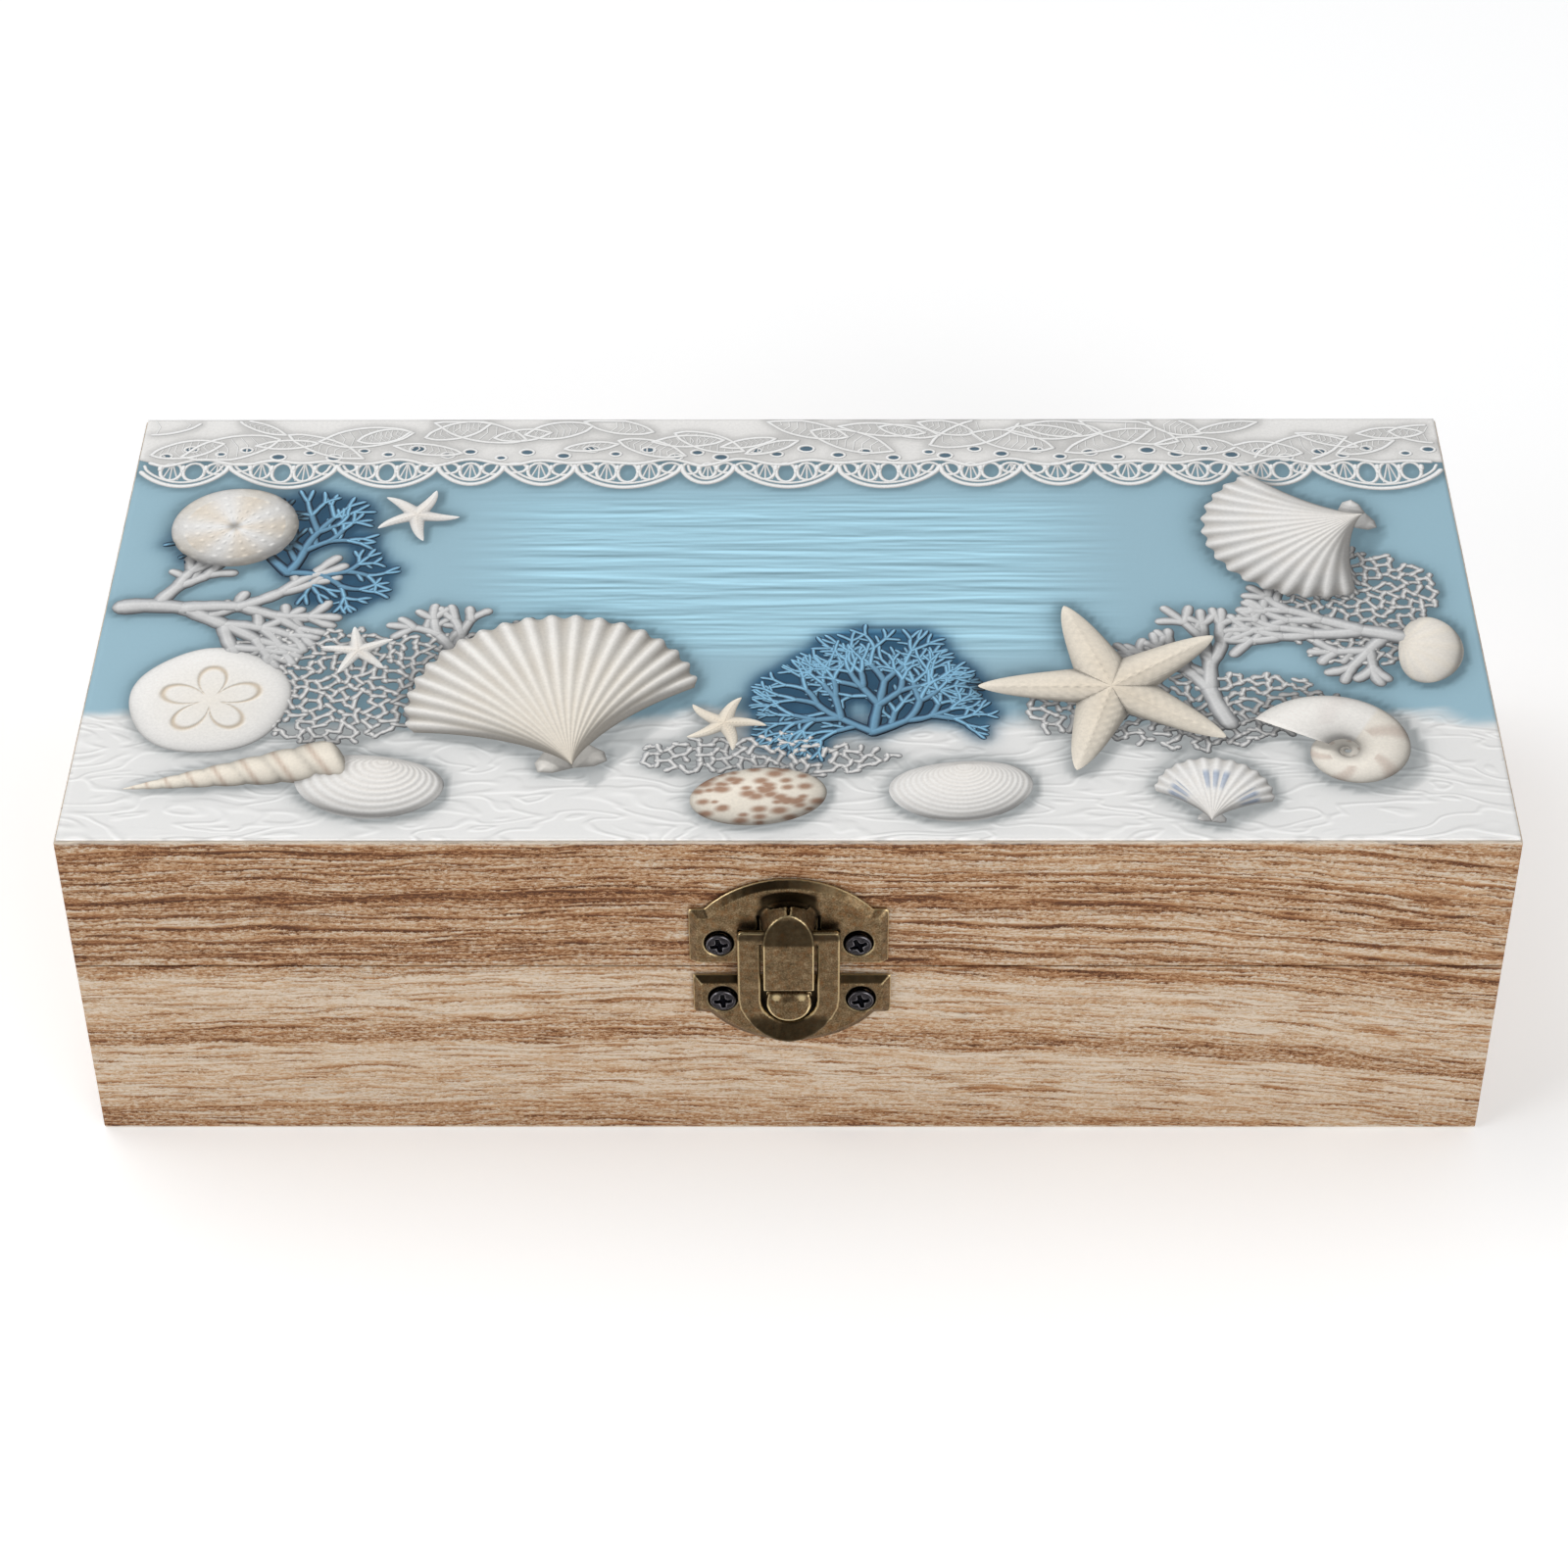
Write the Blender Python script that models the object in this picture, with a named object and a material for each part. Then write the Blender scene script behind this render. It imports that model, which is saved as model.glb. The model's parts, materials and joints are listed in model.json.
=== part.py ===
"""Wooden keepsake box: a sawn-off hinged lid with a printed film on top and a hasp latch in front.

Metres, +Z up. The front, with the latch, faces -Y. The origin is on the ground, under the middle
of the wooden box. All sizes are the real ones.
"""

import math

import bmesh
import bpy
from mathutils import Matrix, Vector

# Wooden box
LENGTH = 0.200  # along X
DEPTH = 0.097  # along Y
HEIGHT = 0.057  # from the ground to the face of the print
SEAM_HEIGHT = 0.0330  # middle of the saw cut that parts lid and base
SAW_CUT = 0.0003
WALL = 0.007
BOTTOM_THICKNESS = 0.004
TOP_THICKNESS = 0.004
ARRIS = 0.0003  # size of the eased outer edges
FILM_THICKNESS = 0.0003
FILM_MARGIN = 0.0004  # bare wood left around the print

# Clearance between two pieces that meet
GAP = 0.0003

# Butt hinges on the back, folded flat against the outside
HINGE_SPREAD = 0.120  # between the middles of the two hinges
HINGE_WIDTH = 0.018
HINGE_LEAF_HEIGHT = 0.008  # from the pin's axis to the free edge
HINGE_SHEET = 0.0008
KNUCKLE_RADIUS = 0.0016
KNUCKLE_SET = 0.0001  # how far the knuckle stands clear of the back of its leaf
PIN_RADIUS = 0.0006
PIN_OVERHANG = 0.0004  # how far the pin shows past the knuckles
HINGE_SCREW_SIDE = 0.00375  # from the leaf's side to the middle of a screw
HINGE_SCREW_EDGE = 0.0030  # from the leaf's free edge

# Latch plates, measured from the face of the wood and from the seam
LATCH_SHIFT = 0.00015  # the latch sits a little right of the middle
BASE_PLATE_SHIFT = 0.0004  # its lower plate a little more
PLATE_WIDTH = 0.0278
PLATE_SHEET = 0.0010
PLATE_RIM = 0.0002  # upright edge of a plate, below its sloping flange
FLANGE = 0.0012
EAR_WIDTH = 0.0022  # flat stretch on each side of the arch
LID_ARCH_RISE = 0.0056
BASE_ARCH_RISE = 0.0058
PLATE_CORNER = 0.0005
LID_PLATE_START = 0.0018  # its straight edge, above the seam
LID_PLATE_EAR = 0.0097  # from its straight edge to its ears
BASE_PLATE_START = 0.0011  # its straight edge, below the seam
BASE_PLATE_EAR = 0.0074
LATCH_SCREW_SIDE = 0.0042  # from the plate's side to the middle of a screw
LID_SCREW_EDGE = 0.0035  # from the plate's straight edge
BASE_SCREW_EDGE = 0.0044

# Hood: the tongue pressed out of the lid's plate and bent over the hasp's bar
HOOD_WIDTH = 0.0070
HOOD_FLARE = 0.0005  # how much wider each side is where it leaves the plate
HOOD_SHEET = 0.0007
HOOD_LEAN = 0.0010  # how far its upper rim stands back from its front
HOOD_TOP = 0.0054  # above the pivot
HOOD_SHOULDER = 0.0033  # where its sides start to close at the plate, above the pivot
RIM_POINT = 1.5  # how slim its rim's arch is; 1 is half an ellipse
HOOD_DROP = 0.0088  # its lower end, below the pivot
HOOD_HEADROOM = 0.00065  # open height over the turning bar

# Hasp: a flat ring that swings on its top bar
PIVOT_HEIGHT = 0.0062  # above the lid plate's straight edge
BAR_CLEARANCE = 0.00008  # round the turning bar
HASP_SHEET = 0.0008
HASP_BAR = 0.0022
HASP_LEG = 0.0032
HASP_SIDE_ROOM = 0.00045  # between the hood and each leg
HASP_WINDOW_CORNER = 0.0004
HASP_CORNER = 0.0007
HASP_EDGE = 0.0002  # rounding of the ring's edges
HASP_DROP = 0.0189  # from the pivot to the tip of the lip
HASP_LIP = 0.0028  # height of the rail under the window
LIP_FLARE = 0.0015  # how far the lip turns out
LIP_BEND = 0.0042  # height over which it turns out

# Nub on the base plate, a tongue that the hasp's window drops over
NUB_SIDE_ROOM = 0.00095  # between the nub and each leg
NUB_CLEARANCE = 0.0004  # over the hasp's lower rail
NUB_CURVE = 0.0028  # height of its round lower end
NUB_HEIGHT = 0.0046
NUB_REACH = 0.0030  # its crest, from the plate's face
NUB_TOP_REACH = 0.0011  # its upper end, from the plate's face
NUB_EDGE = 0.0004  # rounding of its edges

# Countersunk screws
SCREW_HEAD_RADIUS = 0.0017
SCREW_SHANK_RADIUS = 0.00075
SCREW_LENGTH = 0.0058  # from the plate's face to the tip
SCREW_POINT = 0.0011  # length of its tapering end
SCREW_SINK = 0.0003  # head below the plate's face
HINGE_SCREW_HEAD_RADIUS = 0.0014
HINGE_SCREW_SINK = 0.0001
HEAD_LAND = 0.0001  # upright edge of the head, over its cone
RECESS_WIDTH = 0.00042
RECESS_SPAN = 0.65  # share of the head's width
RECESS_TAPER = 0.6  # its floor as a share of its mouth
RECESS_DEPTH = 0.00045

# Fineness of the round shapes
ROUND = 24
FINE_ROUND = 32
ARCH_STEPS = 16
CORNER_STEPS = 3
SIDE_STEPS = 3
DOME_STEPS = 4

# Places worked out from the sizes above
HALF_LENGTH = LENGTH / 2
HALF_DEPTH = DEPTH / 2
BASE_TOP = SEAM_HEIGHT - SAW_CUT / 2
LID_BOTTOM = SEAM_HEIGHT + SAW_CUT / 2
LID_TOP = HEIGHT - FILM_THICKNESS - GAP
LEAF_BACK = HALF_DEPTH + GAP
HINGE_AXIS = Vector((0.0, LEAF_BACK + KNUCKLE_SET + KNUCKLE_RADIUS, SEAM_HEIGHT))
PLATE_FACE = GAP + PLATE_SHEET
LID_PLATE_EDGE = SEAM_HEIGHT + LID_PLATE_START
BASE_PLATE_EDGE = SEAM_HEIGHT - BASE_PLATE_START
BAR_SWEEP = math.hypot(HASP_BAR, HASP_SHEET) / 2 + BAR_CLEARANCE
PIVOT_REACH = PLATE_FACE + BAR_SWEEP
PIVOT = Vector((LATCH_SHIFT, -HALF_DEPTH - PIVOT_REACH, LID_PLATE_EDGE + PIVOT_HEIGHT))
HOOD_REACH = PIVOT_REACH + BAR_SWEEP + HOOD_SHEET
HOOD_ROOM = BAR_SWEEP + HOOD_HEADROOM
WINDOW_HALF = HOOD_WIDTH / 2 + HASP_SIDE_ROOM
HASP_HALF = WINDOW_HALF + HASP_LEG
NUB_HALF = WINDOW_HALF - NUB_SIDE_ROOM
KNUCKLE_BORE = PIN_RADIUS + GAP
SEAT = 0.00004  # keeps surfaces that are joined from lying in one plane
TINY = 1e-7
SQUARE = 0.999  # a face whose normal is nearly along an axis stays flat


def clear_scene():
    for obj in list(bpy.data.objects):
        bpy.data.objects.remove(obj, do_unlink=True)


def material(name, colour, roughness, metallic=0.0):
    mat = bpy.data.materials.new(name)
    mat.use_nodes = True
    shader = mat.node_tree.nodes["Principled BSDF"]
    shader.inputs["Base Color"].default_value = (*colour, 1.0)
    shader.inputs["Roughness"].default_value = roughness
    shader.inputs["Metallic"].default_value = metallic
    return mat


def world_place(obj):
    """World location of an object whose parents aren't turned."""
    place = Vector()
    while obj:
        place += obj.location
        obj = obj.parent
    return place


def place_under(obj, location, parent):
    obj.parent = parent
    obj.location = Vector(location) - world_place(parent)


def axis_empty(name, location, parent=None):
    empty = bpy.data.objects.new(name, None)
    bpy.context.collection.objects.link(empty)
    place_under(empty, location, parent)
    return empty


def add_object(name, bm, location, parent=None, mat=None):
    """An object from a mesh. Its faces are shaded smooth, but for those square to an axis."""
    bmesh.ops.recalc_face_normals(bm, faces=bm.faces)
    mesh = bpy.data.meshes.new(name)
    bm.to_mesh(mesh)
    bm.free()
    for polygon in mesh.polygons:
        polygon.use_smooth = max(abs(value) for value in polygon.normal) < SQUARE
    mesh.set_sharp_from_angle(angle=math.radians(35))
    if mat:
        mesh.materials.append(mat)
    obj = bpy.data.objects.new(name, mesh)
    bpy.context.collection.objects.link(obj)
    place_under(obj, location, parent)
    return obj


def add_tool(name, bm, location, parent=None):
    """An object that only cuts another or is joined into it."""
    obj = add_object(name, bm, location, parent)
    obj.display_type = "WIRE"
    obj.hide_render = True
    return obj


def combine(obj, tool, operation):
    modifier = obj.modifiers.new(tool.name, "BOOLEAN")
    modifier.operation = operation
    modifier.solver = "EXACT"
    modifier.object = tool


def block(low, high):
    """A box between two corners, as a mesh."""
    low, high = Vector(low), Vector(high)
    size = Matrix.Diagonal((*(high - low), 1.0))
    bm = bmesh.new()
    bmesh.ops.create_cube(bm, size=1.0, matrix=Matrix.Translation((low + high) / 2) @ size)
    return bm


def loft(loops):
    """A closed body through loops of as many points each, with a flat cap on each end."""
    bm = bmesh.new()
    rings = [[bm.verts.new(point) for point in loop] for loop in loops]
    for ring, following in zip(rings, rings[1:]):
        for i in range(len(ring)):
            j = (i + 1) % len(ring)
            bm.faces.new((ring[i], ring[j], following[j], following[i]))
    bm.faces.new(rings[0])
    bm.faces.new(rings[-1])
    return bm


def turned(profile, steps):
    """A body turned round local Z from (radius, height) points; its ends have no radius."""
    bm = bmesh.new()
    rings = []
    for radius, height in profile[1:-1]:
        angles = [math.tau * i / steps for i in range(steps)]
        rings.append([bm.verts.new((radius * math.cos(a), radius * math.sin(a), height)) for a in angles])
    for ring, following in zip(rings, rings[1:]):
        for i in range(steps):
            j = (i + 1) % steps
            bm.faces.new((ring[i], ring[j], following[j], following[i]))
    for (_, height), ring in ((profile[0], rings[0]), (profile[-1], rings[-1])):
        tip = bm.verts.new((0.0, 0.0, height))
        for i in range(steps):
            bm.faces.new((ring[i], ring[(i + 1) % steps], tip))
    return bm


def along_x(bm):
    """Turns a body that was made round Z so that it runs along X."""
    bmesh.ops.rotate(bm, verts=bm.verts, matrix=Matrix.Rotation(math.pi / 2, 3, "Y"))
    return bm


def trim(bm, point, outward):
    """Cuts off what lies beyond a plane and closes the cut."""
    geometry = bm.verts[:] + bm.edges[:] + bm.faces[:]
    cut = bmesh.ops.bisect_plane(
        bm, geom=geometry, plane_co=point, plane_no=outward, clear_outer=True, dist=TINY
    )
    edges = [item for item in cut["geom_cut"] if isinstance(item, bmesh.types.BMEdge)]
    bmesh.ops.contextual_create(bm, geom=edges)


def fillet(before, corner, after, radius):
    """Points of the arc that rounds one corner of an outline."""
    towards_before = (before - corner).normalized()
    towards_after = (after - corner).normalized()
    half = towards_before.angle(towards_after) / 2
    centre = corner + (towards_before + towards_after).normalized() * radius / math.sin(half)
    start = corner + towards_before * radius / math.tan(half) - centre
    turn = start.angle_signed(corner + towards_after * radius / math.tan(half) - centre)
    points = []
    for i in range(CORNER_STEPS + 1):
        angle = math.atan2(start.y, start.x) - turn * i / CORNER_STEPS
        points.append(centre + radius * Vector((math.cos(angle), math.sin(angle))))
    return points


# Wooden boards


def board(name, low, high, outer, parent=None):
    """A straight board, eased where two of its outer sides, given as (axis, sign), meet."""
    low, high = Vector(low), Vector(high)
    middle = (low + high) / 2
    bm = block(low - middle, high - middle)

    def outer_sides(vert):
        return {(axis, sign) for axis, sign in outer if vert.co[axis] * sign > 0}

    edges = [e for e in bm.edges if len(outer_sides(e.verts[0]) & outer_sides(e.verts[1])) > 1]
    if edges:
        bmesh.ops.bevel(
            bm, geom=edges, offset=ARRIS, offset_type="OFFSET", segments=2, profile=0.5, affect="EDGES"
        )
    return add_object(name, bm, middle, parent, WOOD)


def board_frame(prefix, kind, bottom, top, outer_z, parent=None):
    """Four boards round the box: front and back run through, and the ends stand between them."""
    boards = {}
    inner_depth = HALF_DEPTH - WALL
    for side, sign in (("front", -1), ("back", 1)):
        edges = sorted((sign * HALF_DEPTH, sign * inner_depth))
        boards[side] = board(
            f"{prefix}_{side}_{kind}",
            (-HALF_LENGTH, edges[0], bottom),
            (HALF_LENGTH, edges[1], top),
            {(1, sign), (0, -1), (0, 1), (2, outer_z)},
            parent,
        )
    for side, sign in (("left", -1), ("right", 1)):
        edges = sorted((sign * HALF_LENGTH, sign * (HALF_LENGTH - WALL)))
        boards[side] = board(
            f"{prefix}_{side}_{kind}",
            (edges[0], -inner_depth + GAP, bottom),
            (edges[1], inner_depth - GAP, top),
            {(0, sign), (2, outer_z)},
            parent,
        )
    return boards


def inset_panel(name, bottom, top, parent=None):
    """A panel that lies between the four boards."""
    reach_x = HALF_LENGTH - WALL - GAP
    reach_y = HALF_DEPTH - WALL - GAP
    return board(name, (-reach_x, -reach_y, bottom), (reach_x, reach_y, top), set(), parent)


def print_film(parent):
    """The printed film glued over the lid's rails and top panel."""
    reach_x = HALF_LENGTH - FILM_MARGIN
    reach_y = HALF_DEPTH - FILM_MARGIN
    low = Vector((-reach_x, -reach_y, HEIGHT - FILM_THICKNESS))
    high = Vector((reach_x, reach_y, HEIGHT))
    middle = (low + high) / 2
    add_object("lid_print_film", block(low - middle, high - middle), middle, parent, PRINT)


# Screws

FACING_FRONT = math.pi / 2
FACING_BACK = -math.pi / 2


def screw_profile(head_radius, sink, clearance):
    """From the top of the head down, with the plate's face at height 0. The hole of the same
    screw is this profile with a clearance, and it runs out past the face."""
    cone = head_radius - SCREW_SHANK_RADIUS
    top = -sink if clearance == 0 else PLATE_SHEET
    land = -sink - HEAD_LAND
    return [
        (0.0, top),
        (head_radius + clearance, top),
        (head_radius + clearance, land),
        (SCREW_SHANK_RADIUS + clearance, land - cone),
        (SCREW_SHANK_RADIUS + clearance, SCREW_POINT - SCREW_LENGTH - clearance),
        (0.0, -SCREW_LENGTH - clearance),
    ]


def cross_recess(head_radius, sink):
    """The cross for the driver, as two crossing tapered bars in one body."""
    reach = head_radius * RECESS_SPAN
    half = RECESS_WIDTH / 2
    around = [
        (reach, -half), (reach, half), (half, half), (half, reach), (-half, reach), (-half, half),
        (-reach, half), (-reach, -half), (-half, -half), (-half, -reach), (half, -reach), (half, -half),
    ]
    levels = ((1.0, sink), (1.0, -sink), (RECESS_TAPER, -sink - RECESS_DEPTH))
    return loft([[(x * share, y * share, z) for x, y in around] for share, z in levels])


def screw(name, location, facing, head_radius, sink, receivers, parent=None):
    """A countersunk screw with its hole through each of the receivers."""
    body = add_object(name, turned(screw_profile(head_radius, sink, 0), ROUND), location, parent, STEEL)
    recess = add_tool(f"{name}_recess", cross_recess(head_radius, sink), location, parent)
    hole = add_tool(f"{name}_hole", turned(screw_profile(head_radius, sink, GAP), ROUND), location, parent)
    for item in (body, recess, hole):
        item.rotation_euler.x = facing
    combine(body, recess, "DIFFERENCE")
    for receiver in receivers:
        combine(receiver, hole, "DIFFERENCE")


# Hinges


def knuckle(start, end, radius):
    """A round bar along X between two places, closed at both ends."""
    profile = [(0.0, start), (radius, start), (radius, end), (0.0, end)]
    return along_x(turned(profile, FINE_ROUND))


def leaf_outline(knuckles):
    """(x, height) points of a leaf: notched at the other leaf's knuckles, tabs up to the axis at its own."""
    half = HINGE_WIDTH / 2 - SEAT
    notch = KNUCKLE_RADIUS + GAP
    points = [(-half, HINGE_LEAF_HEIGHT), (half, HINGE_LEAF_HEIGHT)]
    if knuckles[-1][1] < half:
        points.append((half, notch))
    for start, end in reversed(knuckles):
        tab_start, tab_end = max(start + SEAT, -half), min(end - SEAT, half)
        if tab_end < half:
            points.append((tab_end, notch))
        points += [(tab_end, 0.0), (tab_start, 0.0)]
        if tab_start > -half:
            points.append((tab_start, notch))
    if knuckles[0][0] > -half:
        points.append((-half, notch))
    return points


def hinge_leaf(name, middle_x, up, knuckles, parent=None):
    """A leaf with its knuckles. up is 1 for the lid's leaf, which rises from the pin's axis."""
    axis = Vector((middle_x, HINGE_AXIS.y, HINGE_AXIS.z))
    back = LEAF_BACK - axis.y
    outline = leaf_outline(knuckles)
    sheet = loft([[(x, y, up * z) for x, z in outline] for y in (back, back + HINGE_SHEET)])
    leaf = add_object(name, sheet, axis, parent, BRONZE)
    for i, (start, end) in enumerate(knuckles):
        tube = add_tool(f"{name}_tube_{i}", knuckle(start, end, KNUCKLE_RADIUS), axis, parent)
        combine(leaf, tube, "UNION")
    reach = HINGE_WIDTH / 2 + GAP
    bore = add_tool(f"{name}_bore", knuckle(-reach, reach, KNUCKLE_BORE), axis, parent)
    combine(leaf, bore, "DIFFERENCE")
    weld = leaf.modifiers.new("weld", "WELD")
    weld.merge_threshold = TINY * 10
    return leaf


def hinge(side, middle_x, base_board, lid_rail, lid_axis):
    half = HINGE_WIDTH / 2
    third = HINGE_WIDTH / 6
    outer = [(-half, -third - GAP / 2), (third + GAP / 2, half)]
    inner = [(-third + GAP / 2, third - GAP / 2)]
    base_leaf = hinge_leaf(f"hinge_{side}_base_leaf", middle_x, -1, outer)
    lid_leaf = hinge_leaf(f"hinge_{side}_lid_leaf", middle_x, 1, inner, lid_axis)
    pin = knuckle(-half - PIN_OVERHANG, half + PIN_OVERHANG, PIN_RADIUS)
    add_object(f"hinge_{side}_pin", pin, (middle_x, HINGE_AXIS.y, HINGE_AXIS.z), None, BRONZE)
    for end, shift in (("left", -1), ("right", 1)):
        x = middle_x + shift * (half - HINGE_SCREW_SIDE)
        for part, up, leaf, wood, parent in (
            ("base", -1, base_leaf, base_board, None),
            ("lid", 1, lid_leaf, lid_rail, lid_axis),
        ):
            height = SEAM_HEIGHT + up * (HINGE_LEAF_HEIGHT - HINGE_SCREW_EDGE)
            place = (x, LEAF_BACK + HINGE_SHEET, height)
            name = f"hinge_{side}_{part}_screw_{end}"
            receivers = (leaf, wood)
            screw(name, place, FACING_BACK, HINGE_SCREW_HEAD_RADIUS, HINGE_SCREW_SINK, receivers, parent)


# Latch


def arched_outline(ear, rise, inset, end_inset):
    """Half of a latch plate's outline is straight and square, the other half an arch between two
    flat ears. (x, z) points with the straight edge at height 0, moved inwards by the insets."""
    half_span = PLATE_WIDTH / 2 - EAR_WIDTH
    radius = (half_span**2 + rise**2) / (2 * rise)
    centre = ear + rise - radius
    side = PLATE_WIDTH / 2 - inset
    level = ear - inset
    sweep = math.acos((level - centre) / (radius - inset))
    foot = (radius - inset) * math.sin(sweep)
    right = [Vector((side, end_inset)), Vector((side, level)), Vector((foot, level))]
    corner = fillet(right[0], right[1], right[2], PLATE_CORNER)
    angles = [sweep * (1 - 2 * i / ARCH_STEPS) for i in range(ARCH_STEPS + 1)]
    arch = [((radius - inset) * math.sin(a), centre + (radius - inset) * math.cos(a)) for a in angles]
    left_corner = [(-x, z) for x, z in reversed(corner)]
    return [(side, end_inset), *corner, *arch, *left_corner, (-side, end_inset)]


def latch_plate(name, shift, edge_height, up, ear, rise, end_inset, parent=None):
    """A pressed plate. Its flange slopes back to the wood, except along its straight edge when
    end_inset is 0. up is 1 for an arch that points up."""
    levels = ((0.0, 0.0, GAP), (0.0, 0.0, GAP + PLATE_RIM), (FLANGE, end_inset, PLATE_FACE))
    loops = []
    for inset, end, reach in levels:
        loops.append([(x, -reach, up * z) for x, z in arched_outline(ear, rise, inset, end)])
    location = (shift, -HALF_DEPTH, edge_height)
    return add_object(name, loft(loops), location, parent, BRONZE)


def bullet_outline(half_width, bottom, shoulder, top, point):
    """Straight sides that close in an arch, as (x, z) points. The arch is half an ellipse where
    point is 1, and slimmer towards its tip where point is more."""
    right = []
    for i in range(ARCH_STEPS // 2):
        angle = math.pi * i / ARCH_STEPS
        right.append((half_width * math.cos(angle) ** point, shoulder + (top - shoulder) * math.sin(angle)))
    left = [(-x, z) for x, z in reversed(right)]
    return [(half_width, bottom), *right, (0.0, top), *left, (-half_width, bottom)]


def hood(parent):
    """The hood round the pivot: a dome on top that joins the plate, a flat tongue in front of the
    bar, and its end turned back under it. Heights are from the pivot, reaches from the wood."""
    origin = Vector((PIVOT.x, -HALF_DEPTH, PIVOT.z))
    buried = GAP + PLATE_SHEET / 2
    crease = GAP / 2
    loops = []
    for i in range(DOME_STEPS + 1):
        share = i / DOME_STEPS
        reach = buried + (HOOD_REACH - buried) * share
        spread = HOOD_FLARE * (1 - share) ** 2
        half_width = HOOD_WIDTH / 2 + spread
        top = HOOD_TOP - HOOD_LEAN * share**2
        shoulder = HOOD_SHOULDER + (crease - HOOD_SHOULDER) * share
        point = 1 + (RIM_POINT - 1) * share
        outline = bullet_outline(half_width, -HOOD_DROP, shoulder, top, point)
        loops.append([(x, -reach, z) for x, z in outline])
    bm = loft(loops)
    rim = HOOD_TOP - HOOD_LEAN
    lean = Vector((0.0, crease - rim, HOOD_LEAN)).normalized()
    trim(bm, Vector((0.0, -HOOD_REACH, crease)), lean)
    slant = Vector((0.0, -1.0, -1.0)).normalized()
    trim(bm, Vector((0.0, -HOOD_REACH + HOOD_SHEET / 2, -HOOD_DROP)), slant)
    body = add_tool("hood_body", bm, origin, parent)

    inner = HOOD_REACH - HOOD_SHEET
    narrowing = (HOOD_ROOM - crease) * HOOD_LEAN / (rim - crease)
    slit = PLATE_FACE + GAP
    side_view = [
        (0.0, -HOOD_DROP - GAP),
        (slit, -HOOD_DROP - GAP),
        (slit, -HOOD_DROP + HOOD_SHEET),
        (inner, -HOOD_DROP + HOOD_SHEET),
        (inner, crease),
        (inner - narrowing, HOOD_ROOM),
        (0.0, HOOD_ROOM),
    ]
    room = loft([[(x, -reach, z) for reach, z in side_view] for x in (-HOOD_WIDTH, HOOD_WIDTH)])
    combine(body, add_tool("hood_room", room, origin, parent), "DIFFERENCE")
    return body


def ring_outline(half_width, top, bottom, corner):
    """The hasp's outer edge or its window: square on top, half a circle below. (x, z) points."""
    centre = bottom + half_width
    top_right, top_left = Vector((half_width, top)), Vector((-half_width, top))
    low_right, low_left = Vector((half_width, centre)), Vector((-half_width, centre))
    points = [tuple(p) for p in fillet(top_left, top_right, low_right, corner)]
    sides = [centre + (top - centre) * i / SIDE_STEPS for i in range(1, SIDE_STEPS)]
    points += [(half_width, z) for z in reversed(sides)]
    for i in range(ROUND // 2 + 1):
        angle = math.pi * i / (ROUND // 2)
        points.append((half_width * math.cos(angle), centre - half_width * math.sin(angle)))
    points += [(-half_width, z) for z in sides]
    points += [tuple(p) for p in fillet(low_left, top_left, top_right, corner)]
    return points


def lip_turn(z):
    """How far the hasp turns out at a height z from the pivot."""
    into = max(0.0, (LIP_BEND - HASP_DROP - z) / LIP_BEND)
    return LIP_FLARE * into**2


def hasp(parent):
    """A flat ring with rounded edges, its lower rail turned out as a finger lift."""
    outer = ring_outline(HASP_HALF, HASP_BAR / 2, -HASP_DROP, HASP_CORNER)
    inner = ring_outline(WINDOW_HALF, -HASP_BAR / 2, HASP_LIP - HASP_DROP, HASP_WINDOW_CORNER)
    half = HASP_SHEET / 2
    bm = bmesh.new()
    rings = []
    for out, inside in zip(outer, inner):
        out, inside = Vector(out), Vector(inside)
        step = (inside - out).normalized() * HASP_EDGE
        section = (
            (out + step, half), (inside - step, half), (inside, half - HASP_EDGE),
            (inside, HASP_EDGE - half), (inside - step, -half), (out + step, -half),
            (out, HASP_EDGE - half), (out, half - HASP_EDGE),
        )
        rings.append([bm.verts.new((p.x, -reach - lip_turn(p.y), p.y)) for p, reach in section])
    for i, ring in enumerate(rings):
        following = rings[(i + 1) % len(rings)]
        for j in range(len(ring)):
            k = (j + 1) % len(ring)
            bm.faces.new((ring[j], ring[k], following[k], following[j]))
    add_object("latch_hasp", bm, PIVOT, parent, BRONZE)


def nub():
    """The catch that stands out of the base plate: a tongue with a round lower end, whose face
    leans out downwards. Its origin is the middle of that end, on the wood."""
    angles = [-math.pi * i / ARCH_STEPS for i in range(ARCH_STEPS + 1)]
    lower_end = [(NUB_HALF * math.cos(a), NUB_CURVE * (1 + math.sin(a))) for a in angles]
    outline = [(-NUB_HALF, NUB_HEIGHT), (NUB_HALF, NUB_HEIGHT), *lower_end]
    buried = GAP + PLATE_SHEET / 2
    crest = PLATE_FACE + NUB_REACH
    bm = loft([[(x, -reach, z) for x, z in outline] for reach in (buried, crest)])
    lean = Vector((0.0, -NUB_HEIGHT, NUB_REACH - NUB_TOP_REACH)).normalized()
    trim(bm, Vector((0.0, -crest, 0.0)), lean)
    outer = [e for e in bm.edges if all(-v.co.y > PLATE_FACE + NUB_EDGE for v in e.verts)]
    rim = [e for e in outer if abs(e.calc_face_angle(0.0)) > math.radians(50)]
    bmesh.ops.bevel(bm, geom=rim, offset=NUB_EDGE, segments=2, profile=0.5, affect="EDGES")
    place = (PIVOT.x, -HALF_DEPTH, PIVOT.z - HASP_DROP + HASP_LIP + NUB_CLEARANCE)
    return add_tool("nub", bm, place)


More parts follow.
